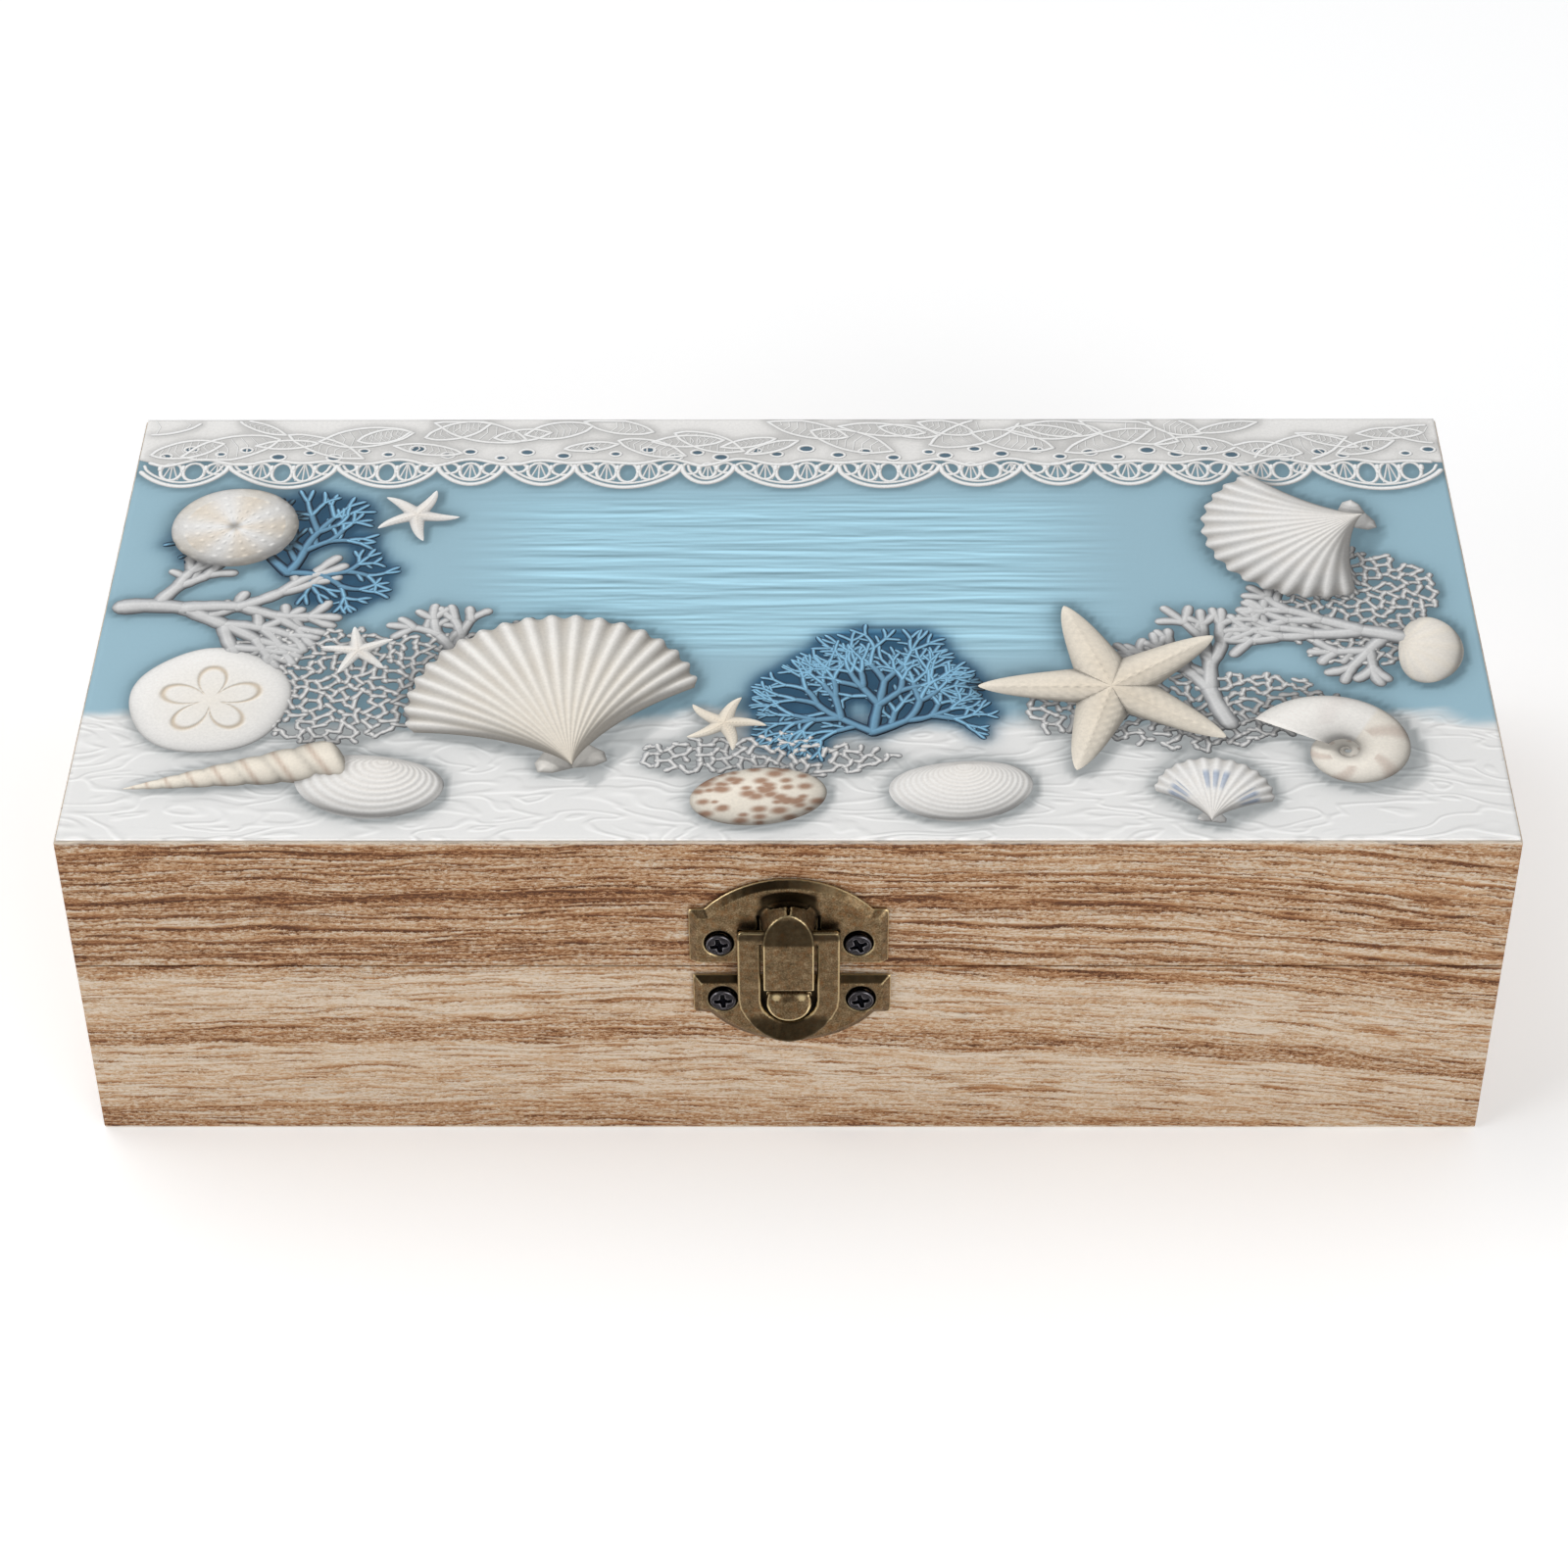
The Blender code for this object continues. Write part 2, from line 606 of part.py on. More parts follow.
def latch(base_board, lid_rail, lid_axis):
    lid_plate = latch_plate(
        "latch_lid_plate", LATCH_SHIFT, LID_PLATE_EDGE, 1, LID_PLATE_EAR, LID_ARCH_RISE, 0.0, lid_axis
    )
    combine(lid_plate, hood(lid_axis), "UNION")
    base_x = LATCH_SHIFT + BASE_PLATE_SHIFT
    base_plate = latch_plate(
        "latch_base_plate", base_x, BASE_PLATE_EDGE, -1, BASE_PLATE_EAR, BASE_ARCH_RISE, FLANGE
    )
    combine(base_plate, nub(), "UNION")
    hasp(axis_empty("hasp_axis", PIVOT, lid_axis))
    for end, shift in (("left", -1), ("right", 1)):
        for part, middle_x, height, plate, wood, parent in (
            ("base", base_x, BASE_PLATE_EDGE - BASE_SCREW_EDGE, base_plate, base_board, None),
            ("lid", LATCH_SHIFT, LID_PLATE_EDGE + LID_SCREW_EDGE, lid_plate, lid_rail, lid_axis),
        ):
            x = middle_x + shift * (PLATE_WIDTH / 2 - LATCH_SCREW_SIDE)
            place = (x, -HALF_DEPTH - PLATE_FACE, height)
            name = f"latch_{part}_screw_{end}"
            screw(name, place, FACING_FRONT, SCREW_HEAD_RADIUS, SCREW_SINK, (plate, wood), parent)


clear_scene()
WOOD = material("torched_pine", (0.44, 0.30, 0.19), 0.65)
PRINT = material("printed_film", (0.72, 0.80, 0.84), 0.5)
BRONZE = material("antique_bronze", (0.20, 0.15, 0.09), 0.42, 1.0)
STEEL = material("gunmetal_steel", (0.12, 0.13, 0.15), 0.35, 1.0)

lid_hinge_axis = axis_empty("lid_axis", HINGE_AXIS)
base_boards = board_frame("base", "board", 0.0, BASE_TOP, -1)
lid_rails = board_frame("lid", "rail", LID_BOTTOM, LID_TOP, 1, lid_hinge_axis)
inset_panel("base_bottom_panel", 0.0, BOTTOM_THICKNESS)
inset_panel("lid_top_panel", LID_TOP - TOP_THICKNESS, LID_TOP, lid_hinge_axis)
print_film(lid_hinge_axis)
for hinge_side, way in (("left", -1), ("right", 1)):
    hinge(hinge_side, way * HINGE_SPREAD / 2, base_boards["back"], lid_rails["back"], lid_hinge_axis)
latch(base_boards["front"], lid_rails["front"], lid_hinge_axis)
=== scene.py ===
"""Looks of the wooden keepsake box: brushed wood, a printed lid and an antique bronze latch.
Lengths in the looks and in the finer pieces are in millimetres."""

import json
import math

import bmesh
import bpy
import numpy as np
from mathutils import Matrix, Vector

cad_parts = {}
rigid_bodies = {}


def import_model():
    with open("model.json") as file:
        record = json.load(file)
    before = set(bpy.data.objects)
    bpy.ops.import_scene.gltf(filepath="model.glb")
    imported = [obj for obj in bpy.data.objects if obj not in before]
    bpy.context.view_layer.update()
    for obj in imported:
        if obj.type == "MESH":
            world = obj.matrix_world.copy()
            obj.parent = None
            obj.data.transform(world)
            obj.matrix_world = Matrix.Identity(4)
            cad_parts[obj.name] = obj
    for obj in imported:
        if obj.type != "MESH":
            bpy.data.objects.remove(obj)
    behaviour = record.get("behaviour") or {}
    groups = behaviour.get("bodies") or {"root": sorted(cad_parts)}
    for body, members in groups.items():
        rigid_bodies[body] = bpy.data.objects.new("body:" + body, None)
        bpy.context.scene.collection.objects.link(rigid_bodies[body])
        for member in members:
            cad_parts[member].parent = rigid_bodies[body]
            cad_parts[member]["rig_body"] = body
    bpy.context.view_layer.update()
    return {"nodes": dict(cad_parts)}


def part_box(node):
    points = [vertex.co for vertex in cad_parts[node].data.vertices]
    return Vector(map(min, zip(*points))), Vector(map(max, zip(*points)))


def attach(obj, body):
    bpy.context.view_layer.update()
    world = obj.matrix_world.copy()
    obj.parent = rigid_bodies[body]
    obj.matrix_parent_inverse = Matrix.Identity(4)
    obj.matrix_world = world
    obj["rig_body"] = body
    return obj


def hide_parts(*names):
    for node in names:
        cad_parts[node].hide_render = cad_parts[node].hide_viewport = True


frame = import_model()

MM = 0.001
HALF_LENGTH, HALF_DEPTH = 100.0, 48.5  # of the box


# Camera and lights

scene = bpy.context.scene
scene.view_settings.view_transform = "Standard"


def shown(name, data):
    """A new object in the scene."""
    obj = bpy.data.objects.new(name, data)
    scene.collection.objects.link(obj)
    return obj


camera = shown("camera", bpy.data.cameras.new("camera"))
camera.location = (0.0034727, -0.425645, 0.402309)
camera.rotation_euler = (0.8442140, 0.0053467, 0.0054080)
camera.data.sensor_width = 36.0
camera.data.lens = 86.416
camera.data.clip_start = 0.01
scene.camera = camera


def softbox(name, place, aim, size, power):
    """A large square light aimed at a point."""
    data = bpy.data.lights.new(name, "AREA")
    data.shape = "SQUARE"
    data.size = size
    data.energy = power
    light = shown(name, data)
    light.location = place
    light.rotation_euler = (Vector(aim) - Vector(place)).to_track_quat("-Z", "Y").to_euler()


softbox("key_light", (-0.45, 0.25, 1.0), (0.0, 0.0, 0.04), 0.7, 3.0)
softbox("front_light", (0.5, -0.9, 0.35), (0.0, 0.0, 0.03), 0.6, 5.0)
softbox("left_light", (-0.9, -0.55, 0.45), (0.0, 0.0, 0.03), 0.5, 4.0)


# Materials made node by node


class Value:
    """The output of a node. What is done with it makes further nodes."""

    def __init__(self, look, socket):
        self.look = look
        self.socket = socket

    def __add__(self, other):
        return self.look.math("ADD", self, other)

    def __sub__(self, other):
        return self.look.math("SUBTRACT", self, other)

    def __rsub__(self, other):
        return self.look.math("SUBTRACT", other, self)

    def __mul__(self, other):
        return self.look.math("MULTIPLY", self, other)

    def __abs__(self):
        return self.look.math("ABSOLUTE", self)

    def span(self, low, high, to_low=0.0, to_high=1.0, smooth=False):
        """Carries the value from one range to another and holds it there."""
        inputs = {0: self, 1: low, 2: high, 3: to_low, 4: to_high}
        way = "SMOOTHSTEP" if smooth else "LINEAR"
        return self.look.node("MapRange", inputs, interpolation_type=way)

    def swing(self, size):
        """Noise turned into a value between about -size and size."""
        return (self - 0.5) * (2 * size)


class Look:
    """A material, or the world's sky where its node tree is given. Each call that makes a node
    returns its output."""

    def __init__(self, name, tree=None):
        if tree is None:
            self.material = bpy.data.materials.new(name)
            self.material.use_nodes = True
            tree = self.material.node_tree
            self.shader = tree.nodes["Principled BSDF"]
        self.tree = tree

    def put(self, socket, value):
        if isinstance(value, Value):
            self.tree.links.new(value.socket, socket)
        else:
            socket.default_value = value

    def node(self, kind, inputs, output=0, **settings):
        made = self.tree.nodes.new("ShaderNode" + kind)
        for name, value in settings.items():
            setattr(made, name, value)
        for key, value in inputs.items():
            self.put(made.inputs[key], value)
        return Value(self, made.outputs[output])

    def set(self, **inputs):
        """Sets the shader's own inputs, with _ for a space in their names."""
        for key, value in inputs.items():
            self.put(self.shader.inputs[key.replace("_", " ")], value)

    def math(self, operation, a, b=0.0):
        return self.node("Math", {0: a, 1: b}, operation=operation)

    def mix(self, factor, a, b, blend="MIX"):
        return self.node("Mix", {0: factor, 6: a, 7: b}, 2, data_type="RGBA", blend_type=blend)

    def lit(self, colour, light):
        """A colour times a value."""
        return self.mix(1.0, colour, self.join(light, light, light), "MULTIPLY")

    def place(self):
        """Position in the object's own frame."""
        point = self.node("TexCoord", {}, 3)
        return self.node("VectorMath", {0: point, 3: 1 / MM}, operation="SCALE")

    def attribute(self, name, output=2):
        return self.node("Attribute", {}, output, attribute_name=name)

    def split(self, vector):
        made = self.tree.nodes.new("ShaderNodeSeparateXYZ")
        self.put(made.inputs[0], vector)
        return [Value(self, output) for output in made.outputs]

    def join(self, x, y, z):
        return self.node("CombineXYZ", {0: x, 1: y, 2: z})

    def noise(self, vector, scale=1.0, detail=2.0, roughness=0.5, distortion=0.0):
        inputs = {"Vector": vector, "Scale": scale, "Detail": detail, "Roughness": roughness}
        return self.node("TexNoise", {**inputs, "Distortion": distortion})

    def ramp(self, value, stops):
        made = self.tree.nodes.new("ShaderNodeValToRGB")
        self.put(made.inputs[0], value)
        elements = made.color_ramp.elements
        while len(elements) < len(stops):
            elements.new(0.5)
        for element, (position, colour) in zip(elements, stops):
            element.position = position
            element.color = rgb(*colour) if isinstance(colour, tuple) else (colour, colour, colour, 1.0)
        return Value(self, made.outputs[0])

    def bump(self, height, distance, strength):
        return self.node("Bump", {"Height": height, "Distance": distance, "Strength": strength})


def linear(value):
    share = value / 255
    return share / 12.92 if share <= 0.04045 else ((share + 0.055) / 1.055) ** 2.4


def rgb(red, green, blue):
    """A colour given as it shows on a screen, from 0 to 255."""
    return (linear(red), linear(green), linear(blue), 1.0)


# Sky and floor

world = bpy.data.worlds.new("studio")
world.use_nodes = True
scene.world = world
background = world.node_tree.nodes["Background"]
background.inputs[1].default_value = 0.75
sky = Look("sky", world.node_tree)
# The sky is pale, but nearly black behind the camera: slopes that face it mirror the dark.
facing = {0: sky.node("TexCoord", {}, 0), 1: (0.0, -0.77, 0.64)}
dimness = sky.node("VectorMath", facing, 1, operation="DOT_PRODUCT").span(0.5, 0.88, smooth=True)
sky.put(background.inputs[0], sky.mix(dimness, (0.88, 0.89, 0.90, 1.0), (0.03, 0.03, 0.03, 1.0)))

floor_look = Look("pale_floor")
floor_look.set(Base_Color=(0.92, 0.92, 0.92, 1.0), Roughness=0.8, Emission_Color=(1.0, 1.0, 1.0, 1.0),
               Emission_Strength=0.28)
floor_mesh = bpy.data.meshes.new("floor")
floor_mesh.from_pydata([(-4, -4, 0), (4, -4, 0), (4, 4, 0), (-4, 4, 0)], [], [(0, 1, 2, 3)])
floor_mesh.materials.append(floor_look.material)
floor = shown("floor", floor_mesh)
floor.location.z = -0.0002


# Materials


def wood_look(name, across):
    """Torched and brushed softwood with the grain along X, or along Y if across is set. The
    scorched skin is thin, so raw wood shows inside and on the sawn rims."""
    look = Look(name)
    x, y, z = look.split(look.place())
    along, depth = (y, x) if across else (x, y)
    # How far below the outer faces
    from_skin = HALF_LENGTH - abs(x)
    if not across:
        from_skin = look.math("MINIMUM", HALF_DEPTH - abs(y), from_skin)

    def mottle(along_scale, depth_scale, z_scale, detail, roughness=0.5):
        vector = look.join(along * along_scale, depth * depth_scale, z * z_scale)
        return look.noise(vector, detail=detail, roughness=roughness)

    # Height in the log: the grain drifts, and it falls away towards the right-hand end.
    bow = look.math("MAXIMUM", along + 10.0, 0.0)
    drift = mottle(0.012, 0.03, 0.03, 1.0).swing(3.0) + mottle(0.07, 0.1, 0.25, 2.0).swing(1.0)
    height = z + (drift + bow * bow * 0.0006)
    grains = mottle(1.4, 2.8, 3.4, 3.0, 0.8)
    coarse = mottle(0.35, 0.9, 1.9, 3.0, 0.7)
    level = height + depth * 0.3 + grains.swing(0.6)

    def streaks(length, thickness, shift, detail=2.0):
        """Noise that is long along the grain and thin across it."""
        into = depth * (0.4 / thickness) + shift
        return look.noise(look.join(along * (1 / length), into, level * (1 / thickness)), detail=detail)

    # Darkness of the broad bands from the foot of the box to its top
    broad = look.ramp(
        (height + grains.swing(0.6)) * (1 / 60),
        [(0.0, 0.46), (0.05, 0.34), (0.12, 0.16), (0.29, 0.10), (0.31, 0.52), (0.345, 0.42), (0.40, 0.16),
         (0.52, 0.12), (0.55, 0.42), (0.62, 0.47), (0.70, 0.36), (0.80, 0.50), (0.90, 0.38), (1.0, 0.46)],
    )
    upper = height.span(31.0, 34.0)
    broad = broad + along.span(-30.0, 60.0) * upper * -0.13

    # Late wood of the year rings, hairlines, dark dashes, pale flecks, fibres and soft clouds
    ring = look.math("FRACT", level * 0.31 + streaks(240, 9.0, 0.0, 1.0).swing(1.6))
    late = ring.span(0.60, 0.86, smooth=True) * ring.span(1.0, 0.95)
    late = late * streaks(90, 3.0, 5.0).span(0.34, 0.54, 0.25, 1.0)
    hair = look.math("FRACT", level * 0.95 + streaks(80, 2.8, 9.0).swing(2.0))
    hair = abs(hair - 0.5).span(0.17, 0.03) * streaks(22, 1.0, 13.0, 3.0).span(0.43, 0.56)
    dashes = streaks(9, 0.40, 17.0, 1.0).span(0.59, 0.68)
    pale = streaks(18, 0.36, 21.0, 1.0).span(0.56, 0.68)
    fibres = streaks(4.5, 0.26, 29.0).swing(1.9)
    cloud = streaks(40, 2.2, 25.0, 3.0).swing(0.22)

    corner = abs(x).span(84.0, 99.0) * (z + cloud).span(8.0, 1.5)
    broad = broad + corner * 0.32
    dark = broad + cloud + late * (upper * 0.40 + 0.14) + hair * (upper * 0.36 + 0.28)
    dark = dark + dashes * 0.50 - pale * 0.26 + fibres * (broad * 0.4 + 0.23)
    dark = dark + grains.swing(1.0) * (broad * 2.3 + 0.50)
    burnt = look.ramp(
        dark * 0.74,
        [(0.0, (210, 194, 175)), (0.14, (198, 173, 145)), (0.34, (184, 145, 107)),
         (0.56, (155, 108, 69)), (0.78, (122, 76, 45)), (1.0, (88, 53, 31))],
    )
    raw = look.ramp(
        late * 0.40 + hair * 0.16 + fibres * 0.15 + dashes * 0.2 + coarse * 0.5,
        [(0.15, (228, 208, 178)), (0.5, (208, 180, 142)), (1.0, (170, 132, 92))],
    )
    colour = look.mix((from_skin + grains.swing(0.25)).span(0.35, 0.75), burnt, raw)
    # Pale bands along the top and bottom rims: worn wood, with a painted highlight where the eased arris
    # catches the light.
    ragged = z + coarse.swing(0.4)
    rim_highlight_and_wear = look.math("MAXIMUM", ragged.span(56.0, 56.3), ragged.span(0.5, 0.25)) * 0.8
    look.set(Base_Color=look.mix(rim_highlight_and_wear, colour, rgb(228, 217, 202)), Specular_IOR_Level=0.3,
             Roughness=dark.span(0.0, 1.0, 0.62, 0.78), Normal=look.bump(dark * -1.0, 0.00018, 0.8))
    return look.material


def bronze_look(name):
    """Antique bronze: brown patina with fine mottling, bright on worn edges and painted highlights, and
    nearly black in dark patina, painted shade and painted reflections."""
    look = Look(name)
    point = look.place()
    wear, patina_and_painted_light = look.attribute("wear"), look.attribute("patina_and_painted_light")
    specks = look.noise(point, 4.2, 4.0, 0.75)
    apart = look.node("VectorMath", {0: point, 1: (31.0, 7.0, 3.0)}, operation="ADD")
    rust = look.noise(apart, 1.3, 4.0, 0.7).span(0.48, 0.68, 0.0, 0.6)
    tone = specks * 0.7 + look.noise(point, 0.8, 3.0, 0.6) * 0.4
    patina = look.ramp(
        tone,
        [(0.36, (54, 44, 30)), (0.48, (92, 76, 54)), (0.60, (122, 103, 77)), (0.74, (165, 143, 111))],
    )
    patina = look.mix(rust, patina, rgb(118, 78, 42))
    # Dark patina, painted shade and painted reflections turn nearly black.
    dark = (patina_and_painted_light + specks.swing(0.45) * patina_and_painted_light) * 0.97
    colour = look.mix(dark.span(0.0, 1.0), patina, rgb(31, 25, 15))
    # Darkness below 0 is a painted highlight; worn edges and painted highlights turn pale.
    painted_highlight = patina_and_painted_light.span(-0.05, -1.0, 0.0, 0.9)
    edge = (wear + painted_highlight + specks.swing(0.35)).span(0.30, 0.95) * patina_and_painted_light.span(0.9, 0.3)
    colour = look.mix(edge, colour, rgb(214, 193, 148))
    colour = look.mix(wear.span(-0.15, -0.9) * 0.85, colour, rgb(34, 27, 18))
    look.set(Base_Color=colour, Metallic=1.0, Roughness=tone.span(0.35, 0.75, 0.42, 0.28),
             Normal=look.bump(specks, 0.00003, 0.6))
    return look.material


def steel_look(name):
    """Blackened steel with bare edges, and painted shade, near black, in its cross recess."""
    look = Look(name)
    specks = look.noise(look.place(), 4.0, 3.0, 0.65)
    colour = look.ramp(specks, [(0.35, (34, 32, 33)), (0.7, (63, 60, 63))])
    bare = (look.attribute("wear") + specks.swing(0.3)).span(0.5, 1.3)
    colour = look.mix(bare, colour, rgb(124, 121, 126))
    # Painted shade in the cross recess.
    colour = look.mix(look.attribute("patina_and_painted_light").span(0.1, 0.9), colour, rgb(12, 12, 16))
    look.set(Base_Color=colour, Metallic=1.0, Roughness=specks.span(0.3, 0.7, 0.38, 0.26))
    return look.material


WOOD = wood_look("brushed_wood", False)
WOOD_ACROSS = wood_look("brushed_wood_across", True)
BRONZE = bronze_look("antique_bronze")
STEEL = steel_look("gunmetal")
for node_name, obj in frame["nodes"].items():
    slot = obj.material_slots[0]
    if "screw" in node_name:
        slot.material = STEEL
    elif "latch" in node_name or "hinge" in node_name:
        slot.material = BRONZE
    elif "film" not in node_name:
        slot.material = WOOD_ACROSS if "left" in node_name or "right" in node_name else WOOD


# Latch, hinges and screws
#
# The pressed pieces are shown finer than in the CAD model. Each CAD mesh is taken in millimetres,
# cut, turned into voxels and smoothed, so that its edges are soft as on sheet metal.


def held(value):
    """Numbers kept between 0 and 1."""
    return np.clip(value, 0.0, 1.0)


def ease(value, low, high):
    """A smooth rise from 0 at low to 1 at high, held beyond them."""
    share = held((value - low) / (high - low))
    return share * share * (3 - 2 * share)


def dome(share, height, power=2.2):
    """A rounded top: its height falls to 0 where share reaches 1."""
    return height * np.sqrt(held(1 - share**power))


def new_mesh(name, bm):
    """A mesh of a form, with its faces pointing out."""
    bmesh.ops.recalc_face_normals(bm, faces=bm.faces)
    mesh = bpy.data.meshes.new(name)
    bm.to_mesh(mesh)
    bm.free()
    return mesh


def slab(low, high):
    """A box between two corners."""
    low, high = Vector(low), Vector(high)
    bm = bmesh.new()
    matrix = Matrix.Translation((low + high) / 2) @ Matrix.Diagonal((*(high - low), 1.0))
    bmesh.ops.create_cube(bm, size=1.0, matrix=matrix)
    return bm


def ball(place, size):
    """A stretched ball."""
    bm = bmesh.new()
    matrix = Matrix.Translation(place) @ Matrix.Diagonal((*size, 1.0))
    bmesh.ops.create_icosphere(bm, subdivisions=4, radius=1.0, matrix=matrix)
    return bm


def sampled(mesh):
    """Places and normals of a mesh's points."""
    place = np.empty(len(mesh.vertices) * 3)
    mesh.vertices.foreach_get("co", place)
    normal = np.empty(len(mesh.vertices) * 3, np.float32)
    mesh.vertex_normals.foreach_get("vector", normal)
    return place.reshape(-1, 3), normal.reshape(-1, 3)


def add_wear(mesh, patina_and_painted_light):
    """Stores how sharply the surface bends at each point, above 0 on edges and below 0 in hollows,
    and its darkness: patina with painted shade and painted reflections, or below 0 a painted highlight."""
    count = len(mesh.vertices)
    place, normal = sampled(mesh)
    ends = np.empty(len(mesh.edges) * 2, np.int64)
    mesh.edges.foreach_get("vertices", ends)
    a, b = ends.reshape(-1, 2).T
    reach = place[b] - place[a]
    length = np.maximum((reach**2).sum(axis=1), 1e-9)
    links = np.maximum(np.bincount(ends, minlength=count), 1)

    def gathered(at_a, at_b):
        return (np.bincount(a, at_a, count) + np.bincount(b, at_b, count)) / links

    def softened(values):
        for _ in range(2):
            values = 0.5 * values + 0.5 * gathered(values[b], values[a])
        return values

    bend = gathered(-(reach * normal[a]).sum(axis=1) / length, (reach * normal[b]).sum(axis=1) / length)
    dark = np.zeros(count) if patina_and_painted_light is None else np.clip(patina_and_painted_light(place, normal), -1, 1)
    for name, values in (("wear", np.clip(softened(bend), -2, 2)), ("patina_and_painted_light", softened(dark))):
        layer = mesh.attributes.new(name, "FLOAT", "POINT")
        layer.data.foreach_set("value", values.astype(np.float32))


def show_instead(name, node, mesh, look):
    """Makes a mesh in millimetres into a piece that stands for a node."""
    mesh.transform(Matrix.Scale(MM, 4))
    mesh.materials.clear()
    mesh.materials.append(look)
    for polygon in mesh.polygons:
        polygon.use_smooth = True
    obj = shown(name, mesh)
    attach(obj, frame["nodes"][node]["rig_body"])
    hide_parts(node)


def refined(node, voxel, smoothing, patina_and_painted_light=None, cut=(), reshape=None):
    """A finer copy of a CAD piece, with forms cut from it. reshape moves its points in the end."""
    bm = bmesh.new()
    bm.from_mesh(frame["nodes"][node].data)
    bmesh.ops.scale(bm, vec=(1 / MM,) * 3, verts=bm.verts)
    bmesh.ops.remove_doubles(bm, verts=bm.verts, dist=0.0005)
    obj = shown(node + "_shape", new_mesh(node, bm))
    tools = [shown(node + "_tool", new_mesh(node, form)) for form in cut]
    for tool in tools:
        modifier = obj.modifiers.new("shape", "BOOLEAN")
        modifier.operation = "DIFFERENCE"
        modifier.solver = "EXACT"
        modifier.object = tool
    voxels = obj.modifiers.new("voxels", "REMESH")
    voxels.mode = "VOXEL"
    voxels.voxel_size = voxel
    smooth = obj.modifiers.new("smooth", "SMOOTH")
    smooth.factor = 0.5
    smooth.iterations = smoothing
    graph = bpy.context.evaluated_depsgraph_get()
    mesh = bpy.data.meshes.new_from_object(obj.evaluated_get(graph))
    for used in (obj, *tools):
        bpy.data.objects.remove(used)
    if reshape is not None:
        mesh.vertices.foreach_set("co", reshape(sampled(mesh)[0]).ravel())
        mesh.update()
    add_wear(mesh, patina_and_painted_light)
    show_instead(node + "_fine", node, mesh, BRONZE)


def middle(node):
    low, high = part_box(node)
    return (low + high) / 2 / MM


HOOD_X = middle("latch_hasp").x
PLATE_FACE = -49.8  # front of the flat sheet of both plates
NUB_Z = 28.25
FILLET_Z = 46.7
SLOPE_FOOT = 41.15  # where the hood's sloping face starts
DIMPLE = 2.15  # half width of the dimples round the latch screws
DIMPLE_RISE = 0.3  # their middle, above the screw's
HEAD, HINGE_HEAD = 1.85, 1.4  # radii of the screw heads
HEAD_RISE = 0.45  # how far the latch screws stand over their CAD heads
# Bars of the stepped cut beside the hood: nearest, farthest, lowest, highest
STEPPED_CUT = ((3.9, 7.0, 40.8, SLOPE_FOOT), (4.05, 4.35, 40.9, 43.85), (3.8, 4.35, 43.6, 43.85))


def from_dimple(pit, place):
    """Distance from a dimple's middle, as a share of its size."""
    rise = (place[:, 2] - pit.z - DIMPLE_RISE) / (DIMPLE + DIMPLE_RISE)
    return np.hypot((place[:, 0] - pit.x) / DIMPLE, rise)


def dark_slope_reflection(normal):
    """Painted reflection: slopes facing up and forward are darkened, as if they mirrored the dark sky."""
    return 0.8 * ease(normal @ np.array([0.0, -0.69, 0.724]), 0.80, 0.97)


def plate_painted_light(pits, extra):
    """Painted light on a plate: dark reflections painted on its slopes, and black painted shade in the
    screw dimples.
    """

    def patina_and_painted_light(place, normal):
        dark = dark_slope_reflection(normal)
        for pit in pits:
            apart = from_dimple(pit, place)
            sunk = ease(place[:, 1], PLATE_FACE - 0.04, PLATE_FACE + 0.08)
            dark = np.max([dark, ease(apart, 1.06, 0.97) * sunk, 0.75 * ease(apart, 1.16, 1.02)], axis=0)
        return extra(place, normal, dark)

    return patina_and_painted_light


def hood_patina_and_painted_light(place, normal, dark):
    """Painted shade, black, in the fillet over the hood, round its dome and in the cuts beside it; a
    painted dark reflection on its sloping face and a painted highlight at the top of its rim."""
    x, y, z = place.T
    beside = np.abs(x - HOOD_X)
    dark = dark * ease(beside, 12.0, 9.0)
    over = np.hypot(beside / 4.0, np.maximum(z - 44.3, 0) / 2.1)
    near_plate = ease(y, PLATE_FACE - 1.5, PLATE_FACE - 1.0)
    fillet = 0.9 * near_plate * ease(beside, 4.4, 3.5) * ease(z, 48.5, 47.4) * ease(over, 0.98, 1.04)
    outline = near_plate * ease(over, 1.16, 1.04) * ease(over, 0.88, 0.97) * ease(z, 43.3, 43.8)
    cuts = ease(y, PLATE_FACE + 0.02, PLATE_FACE + 0.1) * (beside < 7.3) * (z > 40.2) * (z < 44.2)
    crown = 0.4 * ease(z, 42.0, 43.5) * ease(beside, 4.2, 3.9) * ease(y, PLATE_FACE, PLATE_FACE - 0.5)
    front = ease(y, -51.9, -52.1)
    slope = 0.82 * front * ease(z, SLOPE_FOOT - 0.25, SLOPE_FOOT) * ease(normal[:, 2], 0.75, 0.5)
    face = 0.17 * front * ease(z, SLOPE_FOOT, SLOPE_FOOT - 0.25) * (beside < 4.3)
    tip = ease(beside, 3.0, 0.8) * ease(z, 43.2, 44.3) * ease(y, -51.8, -52.1)
    dark = np.max([dark, fillet, outline, cuts, crown, slope, face], axis=0)
    return dark - 1.6 * tip * ease(normal[:, 2], 0.35, 0.6)


def hasp_patina_and_painted_light(place, normal):
    """Painted dark reflections on the turned-out lower rail, the shoulders and slopes facing up, over a
    faint patina.
    """
    x, y, z = place.T
    rail = ease(z, 26.8, 25.2) * ease(np.abs(x - HOOD_X), 6.6, 5.0)
    shoulder = ease(z, 40.2, 41.0) * ease(z, 42.0, 41.8)
    return np.maximum(np.max([0.85 * rail, 0.8 * shoulder, dark_slope_reflection(normal)], axis=0), 0.13)


def on_nub(place):
    """Distance from the middle of the nub, 1 on its outline."""
    return np.hypot((place[:, 0] - HOOD_X) / 3.05, (place[:, 2] - NUB_Z) / 2.95)


